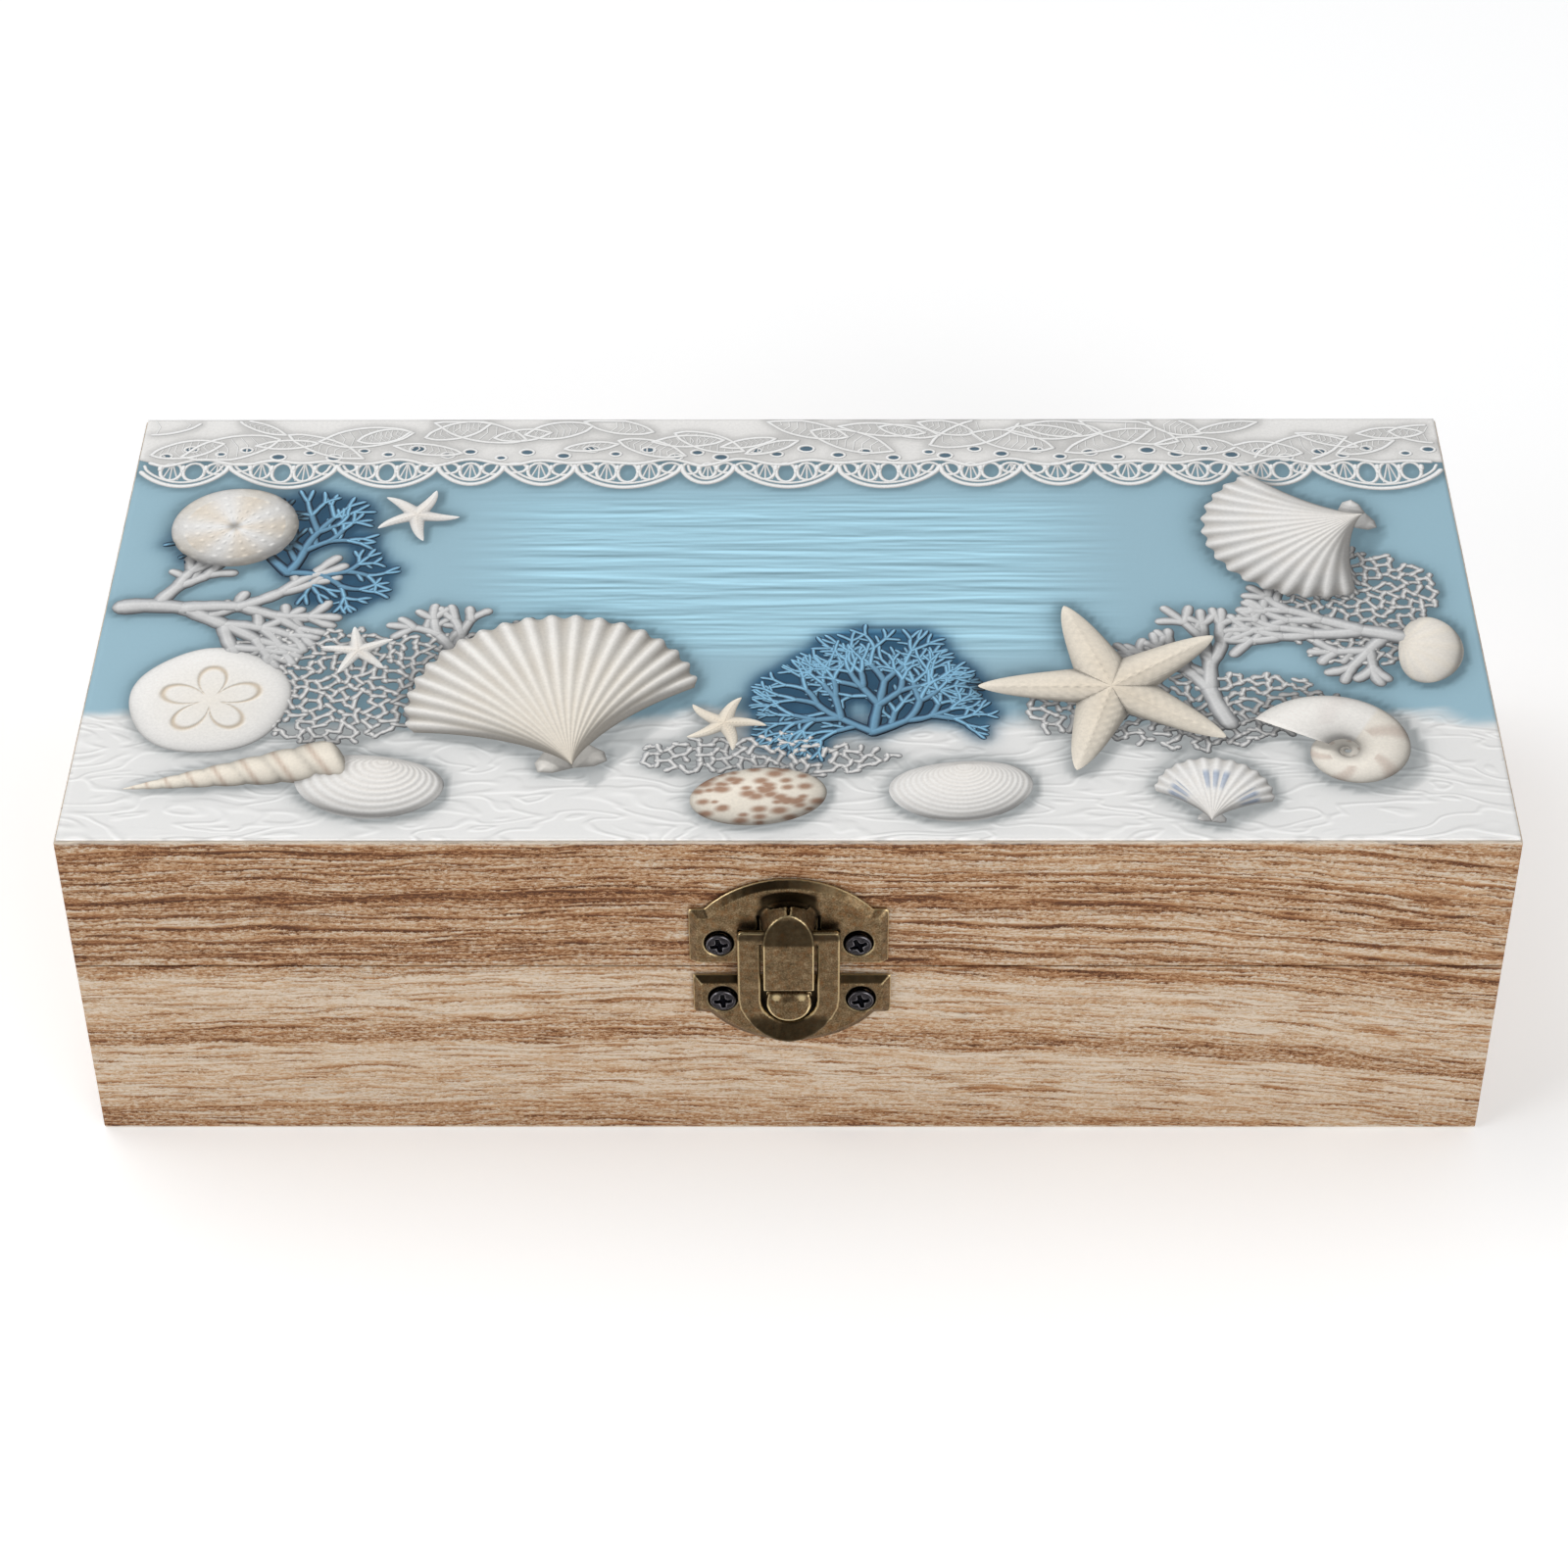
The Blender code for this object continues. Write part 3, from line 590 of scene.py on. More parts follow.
def nub_painted_light(place, normal, dark):
    """Painted shade on the plate round the nub, on its top under the hood and in a dent between two
    painted highlights; the rest of the nub is left bright, with a painted highlight on its lower rim."""
    x, y, z = place.T
    apart = on_nub(place)
    beside = np.abs(x - HOOD_X)
    proud = ease(y, PLATE_FACE - 0.3, PLATE_FACE - 0.8)
    around = ease(apart, 1.9, 1.5) * (1 - proud)
    top = ease(z, 30.0, 31.0) * ease(apart, 1.6, 1.2)
    hollow = 0.6 * ease(np.hypot(beside / 1.5, (z - 29.1) / 0.5), 1.1, 0.5)
    spots = ease(np.hypot((beside - 1.75) / 0.9, (z - 29.3) / 0.7), 1.0, 0.4)
    rim = ease(apart, 0.80, 0.93) * ease(z, 28.6, 27.4)
    bright = ease(apart, 1.15, 1.05) * proud
    dark = np.max([dark * (1 - bright), 0.95 * around, 0.95 * top, hollow], axis=0)
    return dark - bright * np.maximum(0.9 * spots, 0.8 * rim) * (1 - top)


def rounded_nub(place):
    """The nub with its face drawn back to a low ball, and a little larger."""
    apart = on_nub(place)
    x, y, z = place.T
    front = (y < PLATE_FACE - 0.3) & (apart < 1.3)
    crest = PLATE_FACE - 0.8 - dome(apart, 2.15, 3.2)
    grown = 0.06 * ease(y, PLATE_FACE - 0.3, PLATE_FACE - 0.9) * front
    y = np.where(front, np.maximum(y, crest), y)
    return np.stack([x + grown * (x - HOOD_X), y, z + grown * (z - NUB_Z)], axis=1)


pits, dimples = {}, {}
for part in ("lid", "base"):
    pits[part] = [middle(f"latch_{part}_screw_{end}") for end in ("left", "right")]
    dimples[part] = [
        ball((pit.x, PLATE_FACE - 0.1, pit.z + DIMPLE_RISE), (DIMPLE, 1.0, DIMPLE + DIMPLE_RISE))
        for pit in pits[part]
    ]
cuts = []
for way in (-1, 1):
    for near, far, low, high in STEPPED_CUT:
        xs = sorted((HOOD_X + way * near, HOOD_X + way * far))
        cuts.append(slab((xs[0], PLATE_FACE - 0.1, low), (xs[1], PLATE_FACE + 0.6, high)))
fillet = ball((HOOD_X, PLATE_FACE - 0.1, FILLET_Z), (4.0, 0.5, 1.7))
notch = ball((HOOD_X, PLATE_FACE - 1.4, FILLET_Z), (0.38, 1.3, 1.0))
# Voxels as fine as a million triangles in all allow, then rounds of smoothing
refined("latch_lid_plate", 0.15, 3, plate_painted_light(pits["lid"], hood_patina_and_painted_light),
        [*dimples["lid"], *cuts, fillet, notch])
nub_dent = ball((HOOD_X, PLATE_FACE - 2.9, 29.2), (1.5, 0.6, 0.45))
refined("latch_base_plate", 0.15, 3, plate_painted_light(pits["base"], nub_painted_light), [*dimples["base"], nub_dent],
        rounded_nub)
refined("latch_hasp", 0.12, 3, hasp_patina_and_painted_light)
for side in ("left", "right"):
    for part in ("base", "lid"):
        refined(f"hinge_{side}_{part}_leaf", 0.25, 2)


def screw_head(node, radius, turn, raised):
    """A round grid of heights for a countersunk head with a cross recess, on its own shank."""
    low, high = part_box(node)
    centre = (low + high) / 2 / MM
    out = -1.0 if centre.y < 0 else 1.0
    face = (low.y if out < 0 else high.y) / MM + out * raised
    steps, rings = 64, 24
    c, s = math.cos(turn), math.sin(turn)
    bm = bmesh.new()

    def rise(share, u, v):
        """Height of the head's face at u, v along and across the cross."""
        arm, across = max(u, v), min(u, v)
        mouth = min(max((0.72 - arm) / 0.10, 0.0), 1.0)
        mouth *= min(max((0.23 - 0.09 * arm - across) / 0.07, 0.0), 1.0)
        heart = max(0.0, 1 - math.hypot(u, v) / 0.42)
        edge = max(0.0, (share - 0.90) / 0.10) ** 2
        return 0.22 * (1 - share**2) - 0.42 * mouth - 0.35 * heart - 0.16 * edge

    def ring(share, height=None):
        made = []
        for k in range(steps):
            x, z = share * math.cos(math.tau * k / steps), share * math.sin(math.tau * k / steps)
            up = rise(share, abs(c * x + s * z), abs(c * z - s * x)) if height is None else height
            made.append(bm.verts.new((centre.x + radius * x, face + out * up, centre.z + radius * z)))
        return made

    rows = [ring(k / rings) for k in range(rings + 1)]
    rows += [ring(0.985, -0.45), ring(0.62, -1.0), ring(0.42, -1.2), ring(0.36, -2.6)]
    for row, following in zip(rows, rows[1:]):
        for k in range(steps):
            n = (k + 1) % steps
            bm.faces.new((row[k], row[n], following[n], following[k]))
    bm.faces.new(rows[-1])
    bmesh.ops.remove_doubles(bm, verts=bm.verts, dist=0.001)

    # Painted shade: the cross recess is kept near black.
    def patina_and_painted_light(place, normal):
        share = np.hypot(place[:, 0] - centre.x, place[:, 2] - centre.z) / radius
        sunk = 0.22 * (1 - share**2) - out * (place[:, 1] - face)
        return ease(sunk, 0.03, 0.12) * ease(share, 0.86, 0.80)

    mesh = new_mesh(node, bm)
    add_wear(mesh, patina_and_painted_light)
    show_instead(node + "_head", node, mesh, STEEL)


# Turns of the cross recesses, in degrees
turns = iter((4, 35, 62, 12, 71, 20, 10, 48, 80, 24, 55, 15))
for part in ("base", "lid"):
    for end in ("left", "right"):
        screw_head(f"latch_{part}_screw_{end}", HEAD, math.radians(next(turns)), HEAD_RISE)
        for side in ("left", "right"):
            screw_head(f"hinge_{side}_{part}_screw_{end}", HINGE_HEAD, math.radians(next(turns)), 0.0)


# Printed lid
#
# The picture is drawn as low forms with a painted height in millimetres. Their light, shade and
# cast shadows are worked out once and kept as ink colours, and the forms are then laid flat: the
# painted height only decides which one covers the other.

LEFT, RIGHT, FRONT, BACK = -99.6, 99.6, -48.1, 48.1  # its edges
INK_TOP = 56.86  # face of its ground
INK_FLOOR = 56.80  # underside of its figures
GROUND_FLOOR = 56.42  # underside of its ground
FLATTEN = 0.012  # share of a painted height that stays
SUN = np.array([-0.38, 0.46, 0.80])  # where the painted light comes from
SHADE, SUNLIGHT = 0.56, 0.555  # light on a form from all round and from the sun
CELL = 0.5  # step of the grids that painted heights are read from
GROUND_STEP = 0.86  # step of the ground's own points
rng = np.random.default_rng(7)


def ink(red, green, blue):
    return np.array([linear(red), linear(green), linear(blue)])


WHITE = ink(244, 242, 239)
CREAM = ink(241, 232, 217)
WARM = ink(226, 196, 152)
SHELL_BROWN = ink(150, 96, 58)
DEEP_BLUE = ink(8, 40, 76)
PALE_BLUE = ink(150, 206, 238)
RIM_BLUE = ink(70, 120, 170)
CORAL_SIDE = ink(180, 182, 185)
LACE = ink(254, 253, 251)
CLOTH = ink(245, 243, 240)
EYELET = ink(96, 124, 142)


class Sheet:
    """One drawn form: a grid of points (x, y, painted height) with a base colour. The rows of a
    ring close on themselves."""

    def __init__(self, grid, colour, ring=False):
        self.grid = grid
        self.colour = colour
        self.ring = ring

    def normals(self):
        grid = self.grid
        if self.ring:
            padded = np.concatenate([grid[:, -1:], grid, grid[:, :1]], axis=1)
            across = (padded[:, 2:] - padded[:, :-2]) / 2
        else:
            across = np.gradient(grid, axis=1)
        normal = np.cross(np.gradient(grid, axis=0), across)
        normal[normal[..., 2] < 0] *= -1
        if self.ring:
            normal[0] = normal[1].mean(axis=0)
        return normal / np.maximum(np.linalg.norm(normal, axis=2, keepdims=True), 1e-9)


def around(count):
    """Angles once round."""
    return np.linspace(0, math.tau, count, endpoint=False)


def rays(angles):
    """Points of the unit circle at angles."""
    return np.stack([np.cos(angles), np.sin(angles)], axis=-1)


def blend(a, b, share):
    """Ink between two others."""
    share = held(share)[..., None]
    return a * (1 - share) + b * share


# Rounded ends of a line: how far out, and how wide there
THICK_END = np.array([(0.0, 0.55, 0.85, 1.0), (1.0, 0.83, 0.52, 0.12)])
THIN_END = np.array([(0.0, 0.7, 1.0), (1.0, 0.7, 0.12)])


def stroke(points, radius, base, colour, lift, closed=False, crest=None):
    """A rounded line through points, with one radius or one for each point. crest is the colour
    along its middle."""
    points = np.asarray(points, float)
    radius = np.broadcast_to(radius, len(points)).astype(float)
    thick = radius.max() > 0.7
    if closed:
        points, radius = np.vstack([points, points[:1]]), np.append(radius, radius[0])
    along = np.gradient(points, axis=0)
    if closed:
        along[0] = along[-1] = along[0] + along[-1]
    along /= np.maximum(np.linalg.norm(along, axis=1, keepdims=True), 1e-9)
    if not closed:
        out, wide = THICK_END if thick else THIN_END
        start = points[0] - np.outer(radius[0] * out, along[0])
        end = points[-1] + np.outer(radius[-1] * out, along[-1])
        points = np.vstack([start[::-1], points[1:-1], end])
        radius = np.concatenate([radius[0] * wide[::-1], radius[1:-1], radius[-1] * wide])
        along = np.vstack([[along[0]] * len(out), along[1:-1], [along[-1]] * len(out)])
    side = np.stack([-along[:, 1], along[:, 0]], axis=1)
    share = np.array([-1.0, -0.75, -0.3, 0.3, 0.75, 1.0] if thick else [-1.0, -0.62, 0.0, 0.62, 1.0])
    place = points[:, None] + side[:, None] * (radius[:, None] * share)[..., None]
    height = base + dome(share, lift * radius[:, None], 2)
    if crest is not None:
        colour = blend(colour, crest, (1 - np.abs(share)) ** 1.8)
    return Sheet(np.dstack([place, height]), colour)


def disc(outline, rings, form, colour):
    """A form over a round outline of points about its centre. form(share, x, y) gives its height
    from the share of the way to the outline."""
    share = (np.arange(rings + 1) / rings) ** 0.9
    place = share[:, None, None] * outline
    height = form(np.broadcast_to(share[:, None], place.shape[:2]), place[..., 0], place[..., 1])
    height = np.broadcast_to(height, place.shape[:2])
    return Sheet(np.dstack([place, height]), colour, ring=True)


def put(sheet, x, y, turn=0.0, size=1.0, base=0.0):
    """Turns, scales and moves a form in the plane."""
    c, s = math.cos(math.radians(turn)), math.sin(math.radians(turn))
    grid = sheet.grid * size
    along, across, height = grid[..., 0], grid[..., 1], grid[..., 2]
    sheet.grid = np.dstack([x + c * along - s * across, y + s * along + c * across, height + base])
    return sheet


def placed(*rows):
    """All the forms of rows that each give forms, x, y, turn, size and base."""
    return [put(sheet, *place) for sheets, *place in rows for sheet in sheets]


def scallop(ribs, spread=118, tint=CREAM, rim=None):
    """A fan shell of unit size with its hinge at the origin, opening along +Y."""
    angles = np.radians(np.linspace(-spread / 2, spread / 2, ribs * 8 + 1))
    wave = np.cos(angles / np.radians(spread) * ribs * math.tau)
    reach = np.cos(angles * 0.90) ** 0.62 + 0.014 * wave
    share = np.linspace(0.0, 1.0, 36)[:, None]
    radius = share * reach
    turn = angles * (0.45 + 0.55 * share**0.5)
    bulge = 0.30 * np.sqrt(held(1 - (share - 0.38) ** 2 / 0.40))
    flank = held(1 - (np.abs(angles) / np.radians(spread / 2)) ** 3) ** 0.5
    height = bulge * (0.25 + 0.75 * flank) + 0.0085 * wave * share**0.8
    valley = (1 - wave) / 2 * share
    bands = 0.5 + 0.5 * np.sin(share * 21)
    colour = blend(WHITE, tint, 0.9 - 0.8 * share + 0.4 * valley)
    colour = blend(colour, WARM, 0.12 * bands * valley + 0.14 * (1 - share) ** 2)
    if rim is not None:
        blot = held(np.sin(share * 9 + 2) * 1.5) * (wave > -0.2) * (np.cos(angles * 7) > -0.1)
        colour = blend(colour, rim, 0.75 * blot * share)
    sheets = []
    for way in (-1, 1):
        corners = [(0, -0.02), (0.09, -0.03), (0.15, -0.01), (0.15, 0.05), (0.10, 0.11), (0, 0.12)]
        ear = np.array(corners) * (way, 1)
        centre = ear.mean(axis=0)
        outline = np.concatenate([np.linspace(a, b, 6)[:-1] for a, b in zip(ear, np.roll(ear, -1, 0))])
        form = disc(outline - centre, 8, lambda s, x, y: dome(s, 0.06), blend(WHITE, tint, 0.4))
        sheets.append(put(form, *centre))
    return [*sheets, Sheet(np.dstack([radius * np.sin(turn), radius * np.cos(turn), height]), colour)]


def clam(ribs, tint=WHITE, radial=False):
    """An oval bivalve of unit half length, seen from above, with its beak at the back."""
    angles = around(120)
    outline = np.stack([np.cos(angles), 0.62 * np.sin(angles) + 0.05 * np.cos(2 * angles)], axis=1)
    share = np.linspace(0, 1, 46)[:, None]
    beak = np.array([0.12, 0.50])
    place = beak + share[..., None] * (outline - beak)
    wave = np.cos(angles * ribs) * share if radial else np.cos(share**0.8 * ribs * math.tau)
    apart = np.hypot(place[..., 0], place[..., 1] / 0.62)
    height = 0.36 * np.sqrt(held(1.02 - apart**2)) + 0.011 * wave
    colour = blend(WHITE, tint, 0.6 + 0.2 * wave)
    colour = blend(colour, WARM, 0.10 * (1 - share) + 0.05 * (wave < -0.5))
    return [Sheet(np.dstack([place, height]), colour, ring=True)]


def nautilus():
    """A coiled shell of unit radius: whorls that widen along a spiral, with faint warm stripes."""
    turns = np.linspace(0.0, 2.35 * math.tau, 190)
    growth = np.exp(0.175 * (turns - turns[-1]))[:, None]
    turns = turns[:, None]
    share = np.linspace(-1, 1, 22)
    ray = rays(turns)
    place = ray * 0.60 * growth[..., None] + ray * (0.40 * growth * share)[..., None]
    height = dome(share, 0.30 * growth, 2) + 0.10 + 0.16 * growth
    stripe = held(np.sin(turns * 5.5 + share * 1.8) * 1.6 - 0.5) * (share > -0.3)
    colour = blend(CREAM, SHELL_BROWN, 0.42 * stripe)
    colour = blend(colour, WHITE, 0.25 + 0.5 * (turns > 2.1 * math.tau))
    return [Sheet(np.dstack([place, height]), colour)]


def turret():
    """A slender spiral shell of unit length along +X, its point at the left."""
    whorls = 9
    s = np.linspace(0.0, 1.0, whorls * 9)[:, None]
    t = np.linspace(-1, 1, 15)
    phase = whorls * (s + 0.035 * t * s) ** 0.62
    swell = np.abs(np.sin(math.pi * phase)) ** 0.6
    half = 0.155 * s**0.85 * (0.86 + 0.14 * swell) * np.clip((1.03 - s) / 0.06, 0.3, 1)
    height = dome(t, half * 1.05, 2) * (0.88 + 0.12 * swell)
    stripe = held(1 - np.abs((phase % 1) - 0.35) / 0.14)
    colour = blend(CREAM, SHELL_BROWN, 0.45 * stripe)
    return [Sheet(np.dstack([s - 0.02 * t * s, half * t, height]), colour)]


def sand_dollar():
    """A flat round urchin of unit radius with a five-petal flower."""
    angles = around(150)

    def petal(x, y):
        return 0.62 * np.abs(np.cos(2.5 * np.arctan2(y, x))) ** 0.55

    def form(share, x, y):
        groove = np.exp(-(((share - petal(x, y)) / 0.035) ** 2)) * (share > 0.08) * (share < 0.64)
        return dome(share, 0.16, 4) + 0.05 * (1 - share) - 0.035 * groove

    sheet = disc(rays(angles) * (1 + 0.015 * np.cos(5 * angles))[:, None], 44, form, WHITE)
    x, y = sheet.grid[..., 0], sheet.grid[..., 1]
    radius = np.hypot(x, y)
    line = np.exp(-(((radius - petal(x, y)) / 0.04) ** 2)) * (radius > 0.06)
    sheet.colour = blend(blend(WHITE, CREAM, 0.6 * (1 - radius)), WARM, 0.55 * line)
    return [sheet]


def urchin():
    """A round urchin shell of unit radius with rows of small knobs."""
    rows = 20
    angles = around(rows * 8)
    knob = held(np.cos(angles * rows))

    def form(share, x, y):
        beads = knob * held(np.sin(share * 34))
        crown = np.exp(-((share / 0.10) ** 2))
        return dome(share, 0.55) + 0.03 * beads * held(share * 2.5) - 0.12 * crown

    sheet = disc(rays(angles), 46, form, WHITE)
    share = np.hypot(sheet.grid[..., 0], sheet.grid[..., 1])
    band = 0.5 + 0.5 * np.cos(angles * 5)
    sheet.colour = blend(blend(WHITE, CREAM, 0.7 * band * share), WARM, 0.25 * band * (share < 0.8))
    return [sheet]


def starfish(plump=0.20, tint=CREAM, bend=0.0):
    """A starfish of unit arm length with a granular back."""
    tips = math.tau * np.arange(5)[:, None] / 5 + math.pi / 2
    u = np.linspace(-1, 1, 31)
    along = 1 - 0.73 * np.abs(u) ** 1.5
    half = np.sign(u) * (plump * (1 - along) ** 0.72 + 0.04) * (1 - along**9) ** 0.5
    turn = tips + bend * along**2
    outline = along[:, None] * rays(turn) + half[:, None] * rays(turn + math.pi / 2)

    def form(share, x, y):
        radius = np.hypot(x, y)
        turn = np.arctan2(y, x) - bend * radius**2
        away = np.abs((turn - tips[..., None] + math.pi) % math.tau - math.pi).min(axis=0)
        spine = radius * np.sin(np.minimum(away, math.pi / 2))
        half = plump * (1.001 - held(radius)) ** 0.72 + 0.045
        body = held(1 - (spine / half) ** 2) ** 0.55
        ridge = 0.016 * np.exp(-((spine / 0.02) ** 2)) * np.abs(np.sin(radius * 40))
        grain = 0.0045 * np.sin(radius * 66 + 2) * np.cos(spine / half * 9)
        edge = held((1 - share) * 6)
        body = np.maximum(body, 0.75 * edge * (radius < 0.25))
        return (0.19 - 0.12 * radius) * body + (grain + ridge) * edge

    colour = blend(tint, WARM, 0.22 * (1 - np.linspace(0, 1, 35)[:, None]))
    return [disc(outline.reshape(-1, 2), 34, form, colour)]


def spotted_pebble():
    """A smooth oval shell of unit half length with brown spots."""
    width = 0.62
    sheet = disc(rays(around(110)) * (1, width), 34, lambda s, x, y: dome(s, 0.4, 2.0), CREAM)
    x, y = sheet.grid[..., 0], sheet.grid[..., 1]
    blots = np.zeros(x.shape)
    for _ in range(70):
        cx, cy = rng.uniform(-1, 1), rng.uniform(-width, width)
        size = rng.uniform(0.03, 0.07)
        blots = np.maximum(blots, held(1.6 - np.hypot((x - cx) / 1.6, y - cy) / size))
    sheet.colour = blend(CREAM, SHELL_BROWN, 0.8 * blots)
    return [sheet]


def branches(x, y, turn, length, radius, depth, spread, base, colour, crest):
    """A branching coral. It starts at a point and grows in one direction."""
    steps = 6 if radius > 1.2 else 4
    bend = rng.uniform(-22, 22)
    hops = rays(np.radians(turn + bend * np.linspace(0, 1, steps))) * length / steps
    points = np.vstack([[x, y], np.array([x, y]) + np.cumsum(hops, axis=0)])
    thin = np.linspace(radius, radius * 0.84, steps + 1) * rng.uniform(0.92, 1.08, steps + 1)
    if depth == 0:
        thin[-2:] *= 1.12
    sheets = [stroke(points, thin, base, colour, 1.1, crest=crest)]
    if depth > 0:
        count = 2 if rng.random() < 0.75 else 3
        for k in range(count):
            way = turn + bend + (k - (count - 1) / 2) * spread * rng.uniform(0.8, 1.5)
            sheets += branches(*points[-1], way, length * rng.uniform(0.66, 0.90), radius * 0.85,
                               depth - 1, spread, base + 0.06 * rng.uniform(-1, 1), colour, crest)
        if rng.random() < 0.35:
            way = turn + rng.choice([-1, 1]) * spread * 1.5
            sheets += branches(*points[steps // 2], way, length * 0.6, radius * 0.75, depth - 2,
                               spread, base, colour, crest)
    return sheets


def netting(x, y, width, depth):
    """A patch of lacy coral: short bars with knobbly ends round open, six-sided loops."""
    edge = 1.25
    spots = {}
    columns, rows = int(width / edge), int(depth / edge / 0.86)
    for i in range(-columns // 2, columns // 2 + 1):
        for j in range(-rows // 2, rows // 2 + 1):
            if (i - (j - j % 2) // 2 - j) % 3 == 0:
                continue
            px = (i + 0.5 * (j % 2)) * edge + rng.normal(0, 0.27)
            py = j * edge * 0.86 + rng.normal(0, 0.27)
            ragged = 1 + 0.22 * math.sin(3.1 * math.atan2(py, px) + x) + rng.normal(0, 0.06)
            if (2 * px / width) ** 2 + (2 * py / depth) ** 2 < ragged:
                spots[i, j] = np.array([x + px, y + py])
    sheets = []
    for (i, j), here in spots.items():
        shift = j % 2
        for other in ((i + 1, j), (i + shift, j + 1), (i - 1 + shift, j + 1)):
            if other in spots and rng.random() < 0.88:
                there = spots[other]
                points = [here, (here + there) / 2 + rng.normal(0, 0.1, 2), there]
                knots = rng.uniform(0.48, 0.68, 2)
                sheets.append(stroke(points, [knots[0], 0.42, knots[1]], 0.15 + rng.uniform(0, 0.3),
                                     CORAL_SIDE * rng.uniform(0.92, 1.0), 1.5, crest=WHITE))
    return sheets


def curve(points, count):
    """A smooth line through points."""
    padded = np.vstack([2 * points[0] - points[1], points, 2 * points[-1] - points[-2]])
    u = np.linspace(0, len(points) - 1, count)
    k = np.minimum(u.astype(int), len(points) - 2)
    t = (u - k)[:, None]
    a, b, c, d = padded[k], padded[k + 1], padded[k + 2], padded[k + 3]
    bend = (2 * a - 5 * b + 4 * c - d) * t**2 + (3 * b - a - 3 * c + d) * t**3
    return 0.5 * (2 * b + (c - a) * t + bend)


def lace():
    """The lace along the back: corded cloth, scallops of open loops, eyelets and leafy tendrils."""
    cloth_edge = 36.6
    xs = np.linspace(LEFT, RIGHT, 440)
    low = cloth_edge + 0.8 * np.abs(np.sin(xs * 0.23)) + 0.5 * np.sin(xs * 0.61)
    share = np.linspace(0, 1, 26)[:, None]
    cloth_y = low * (1 - share) + BACK * share
    cloth = np.dstack([np.broadcast_to(xs, cloth_y.shape), cloth_y, np.full(cloth_y.shape, 0.7)])
    cloth[0, :, 2] = 0.35
    sheets = [Sheet(cloth, CLOTH)]

    def thread(points, radius, base, lift=1.3, closed=False):
        sheets.append(stroke(points, radius, base, LACE, lift, closed))

    def inside(line):
        return (line[:, 1] < BACK - 0.4) & (np.abs(line[:, 0]) < RIGHT - 0.5)

    thread(np.stack([xs, low], axis=1)[4:-4], 0.38, 0.62)

    edges = [LEFT]
    while edges[-1] < RIGHT - 11:
        edges.append(edges[-1] + rng.uniform(8.0, 17.5))
    edges[-1] = RIGHT
    for start, end in zip(edges, edges[1:]):
        width = end - start
        depth = 3.3 + 0.13 * width
        skew = rng.uniform(0.85, 1.2)
        share = np.linspace(0, 1, 40)
        for inset, radius in ((0.0, 0.44), (1.0, 0.26)):
            drop = np.sin(math.pi * share**skew) ** 0.6
            x = start + inset + (width - 2 * inset) * share
            arc = np.stack([x, cloth_edge - 0.4 - (depth - inset) * drop], axis=1)
            thread(arc[inside(arc)], radius, 0.5)
        loops = max(3, int(width / 3.0))
        for k in range(loops):
            share = (k + 0.5) / loops
            drop = (depth - 1.1) * math.sin(math.pi * share**skew) ** 0.6
            cx, cy = start + width * share, cloth_edge + 0.1 - drop * 0.52
            rx, ry = width / loops * 0.47, drop * 0.50 + 0.25
            loop = rays(around(16)) * (rx, ry) + (cx, cy)
            if inside(loop).all():
                thread(loop, 0.30, 0.5, closed=True)
                for lean in (-0.45, 0.0, 0.45) if k % 2 else ():
                    thread([(cx, cy + ry), (cx + lean * rx * 1.6, cy - ry * math.cos(lean))], 0.15, 0.45)
            if k > 0:
                x = start + width * k / loops
                thread([(x, cloth_edge - 0.6), (x, cloth_edge - 1.3)], 0.42, 0.55)

    for k in range(46):
        cx = LEFT + 4 + k * 4.3 + rng.uniform(-1.0, 1.0)
        cy = 38.7 + 0.5 * math.sin(k * 0.9) + 1.3 * (k % 2)
        size = rng.uniform(0.55, 0.85)
        ring = rays(around(16)) * (1.45 * size, size)
        hole = disc(ring * 0.8, 3, lambda s, x, y: 0.02, EYELET)
        sheets.append(put(hole, cx, cy, rng.uniform(-20, 20), 1.0, 0.72))
        thread(ring + (cx, cy), 0.26, 0.72, 1.4, closed=True)

    for k in range(40):
        cx, cy = LEFT + 3 + k * 5.0 + rng.uniform(-1.5, 1.5), rng.uniform(40.0, 46.5)
        reach, turn = rng.uniform(4.0, 8.0), math.radians(rng.uniform(-28, 28) + 180 * (k % 2))
        axes = np.array([(math.cos(turn), math.sin(turn)), (-math.sin(turn), math.cos(turn))])
        bow = rng.uniform(0.22, 0.40)
        for way in (1, -1):
            leaf = np.array([(-1, 0), (-0.5, 0.8 * bow), (0.1, bow), (0.7, 0.6 * bow), (1, 0)]) * (1, way)
            line = curve(leaf * reach @ axes + (cx, cy), 15)
            keep = inside(line) & (line[:, 1] > cloth_edge + 1.0)
            if keep.sum() > 4:
                thread(line[keep], 0.34, 0.72, 2.0)
        for u in np.linspace(-0.7, 0.7, 8):
            top = bow * reach * 0.8 * (1 - u * u)
            v = u * reach
            bar = np.array([(v - 0.3, -top), (v + 0.3, 0.0), (v - 0.3, top)]) @ axes + (cx, cy)
            if (inside(bar) & (bar[:, 1] > cloth_edge + 1.0)).all():
                thread(bar, 0.15, 0.70, 2.0)
    return sheets


# Place, turn, length, radius, depth and spread of each coral, and place and size of each net
WHITE_CORALS = ((-97, 2, 8, 9.0, 1.9, 4, 36), (-52, -20, 62, 7.5, 1.7, 4, 40),
                (91, -6, 160, 8.5, 1.9, 4, 36), (62, -24, 110, 7.5, 1.7, 4, 38))
BLUE_CORALS = ((-74, 10, 62, 5.6, 1.05, 4, 38), (-74, 10, 130, 5.6, 1.05, 4, 38),
               (-74, 10, 0, 5.0, 1.0, 4, 38), (12, -26, 85, 6.0, 1.05, 5, 38),
               (12, -26, 150, 5.4, 1.0, 5, 36), (12, -26, 25, 5.4, 1.0, 5, 36))
NETS = ((-62, -15, 50, 25), (56, -21, 46, 17), (82, 3, 25, 28), (-2, -31, 38, 9))
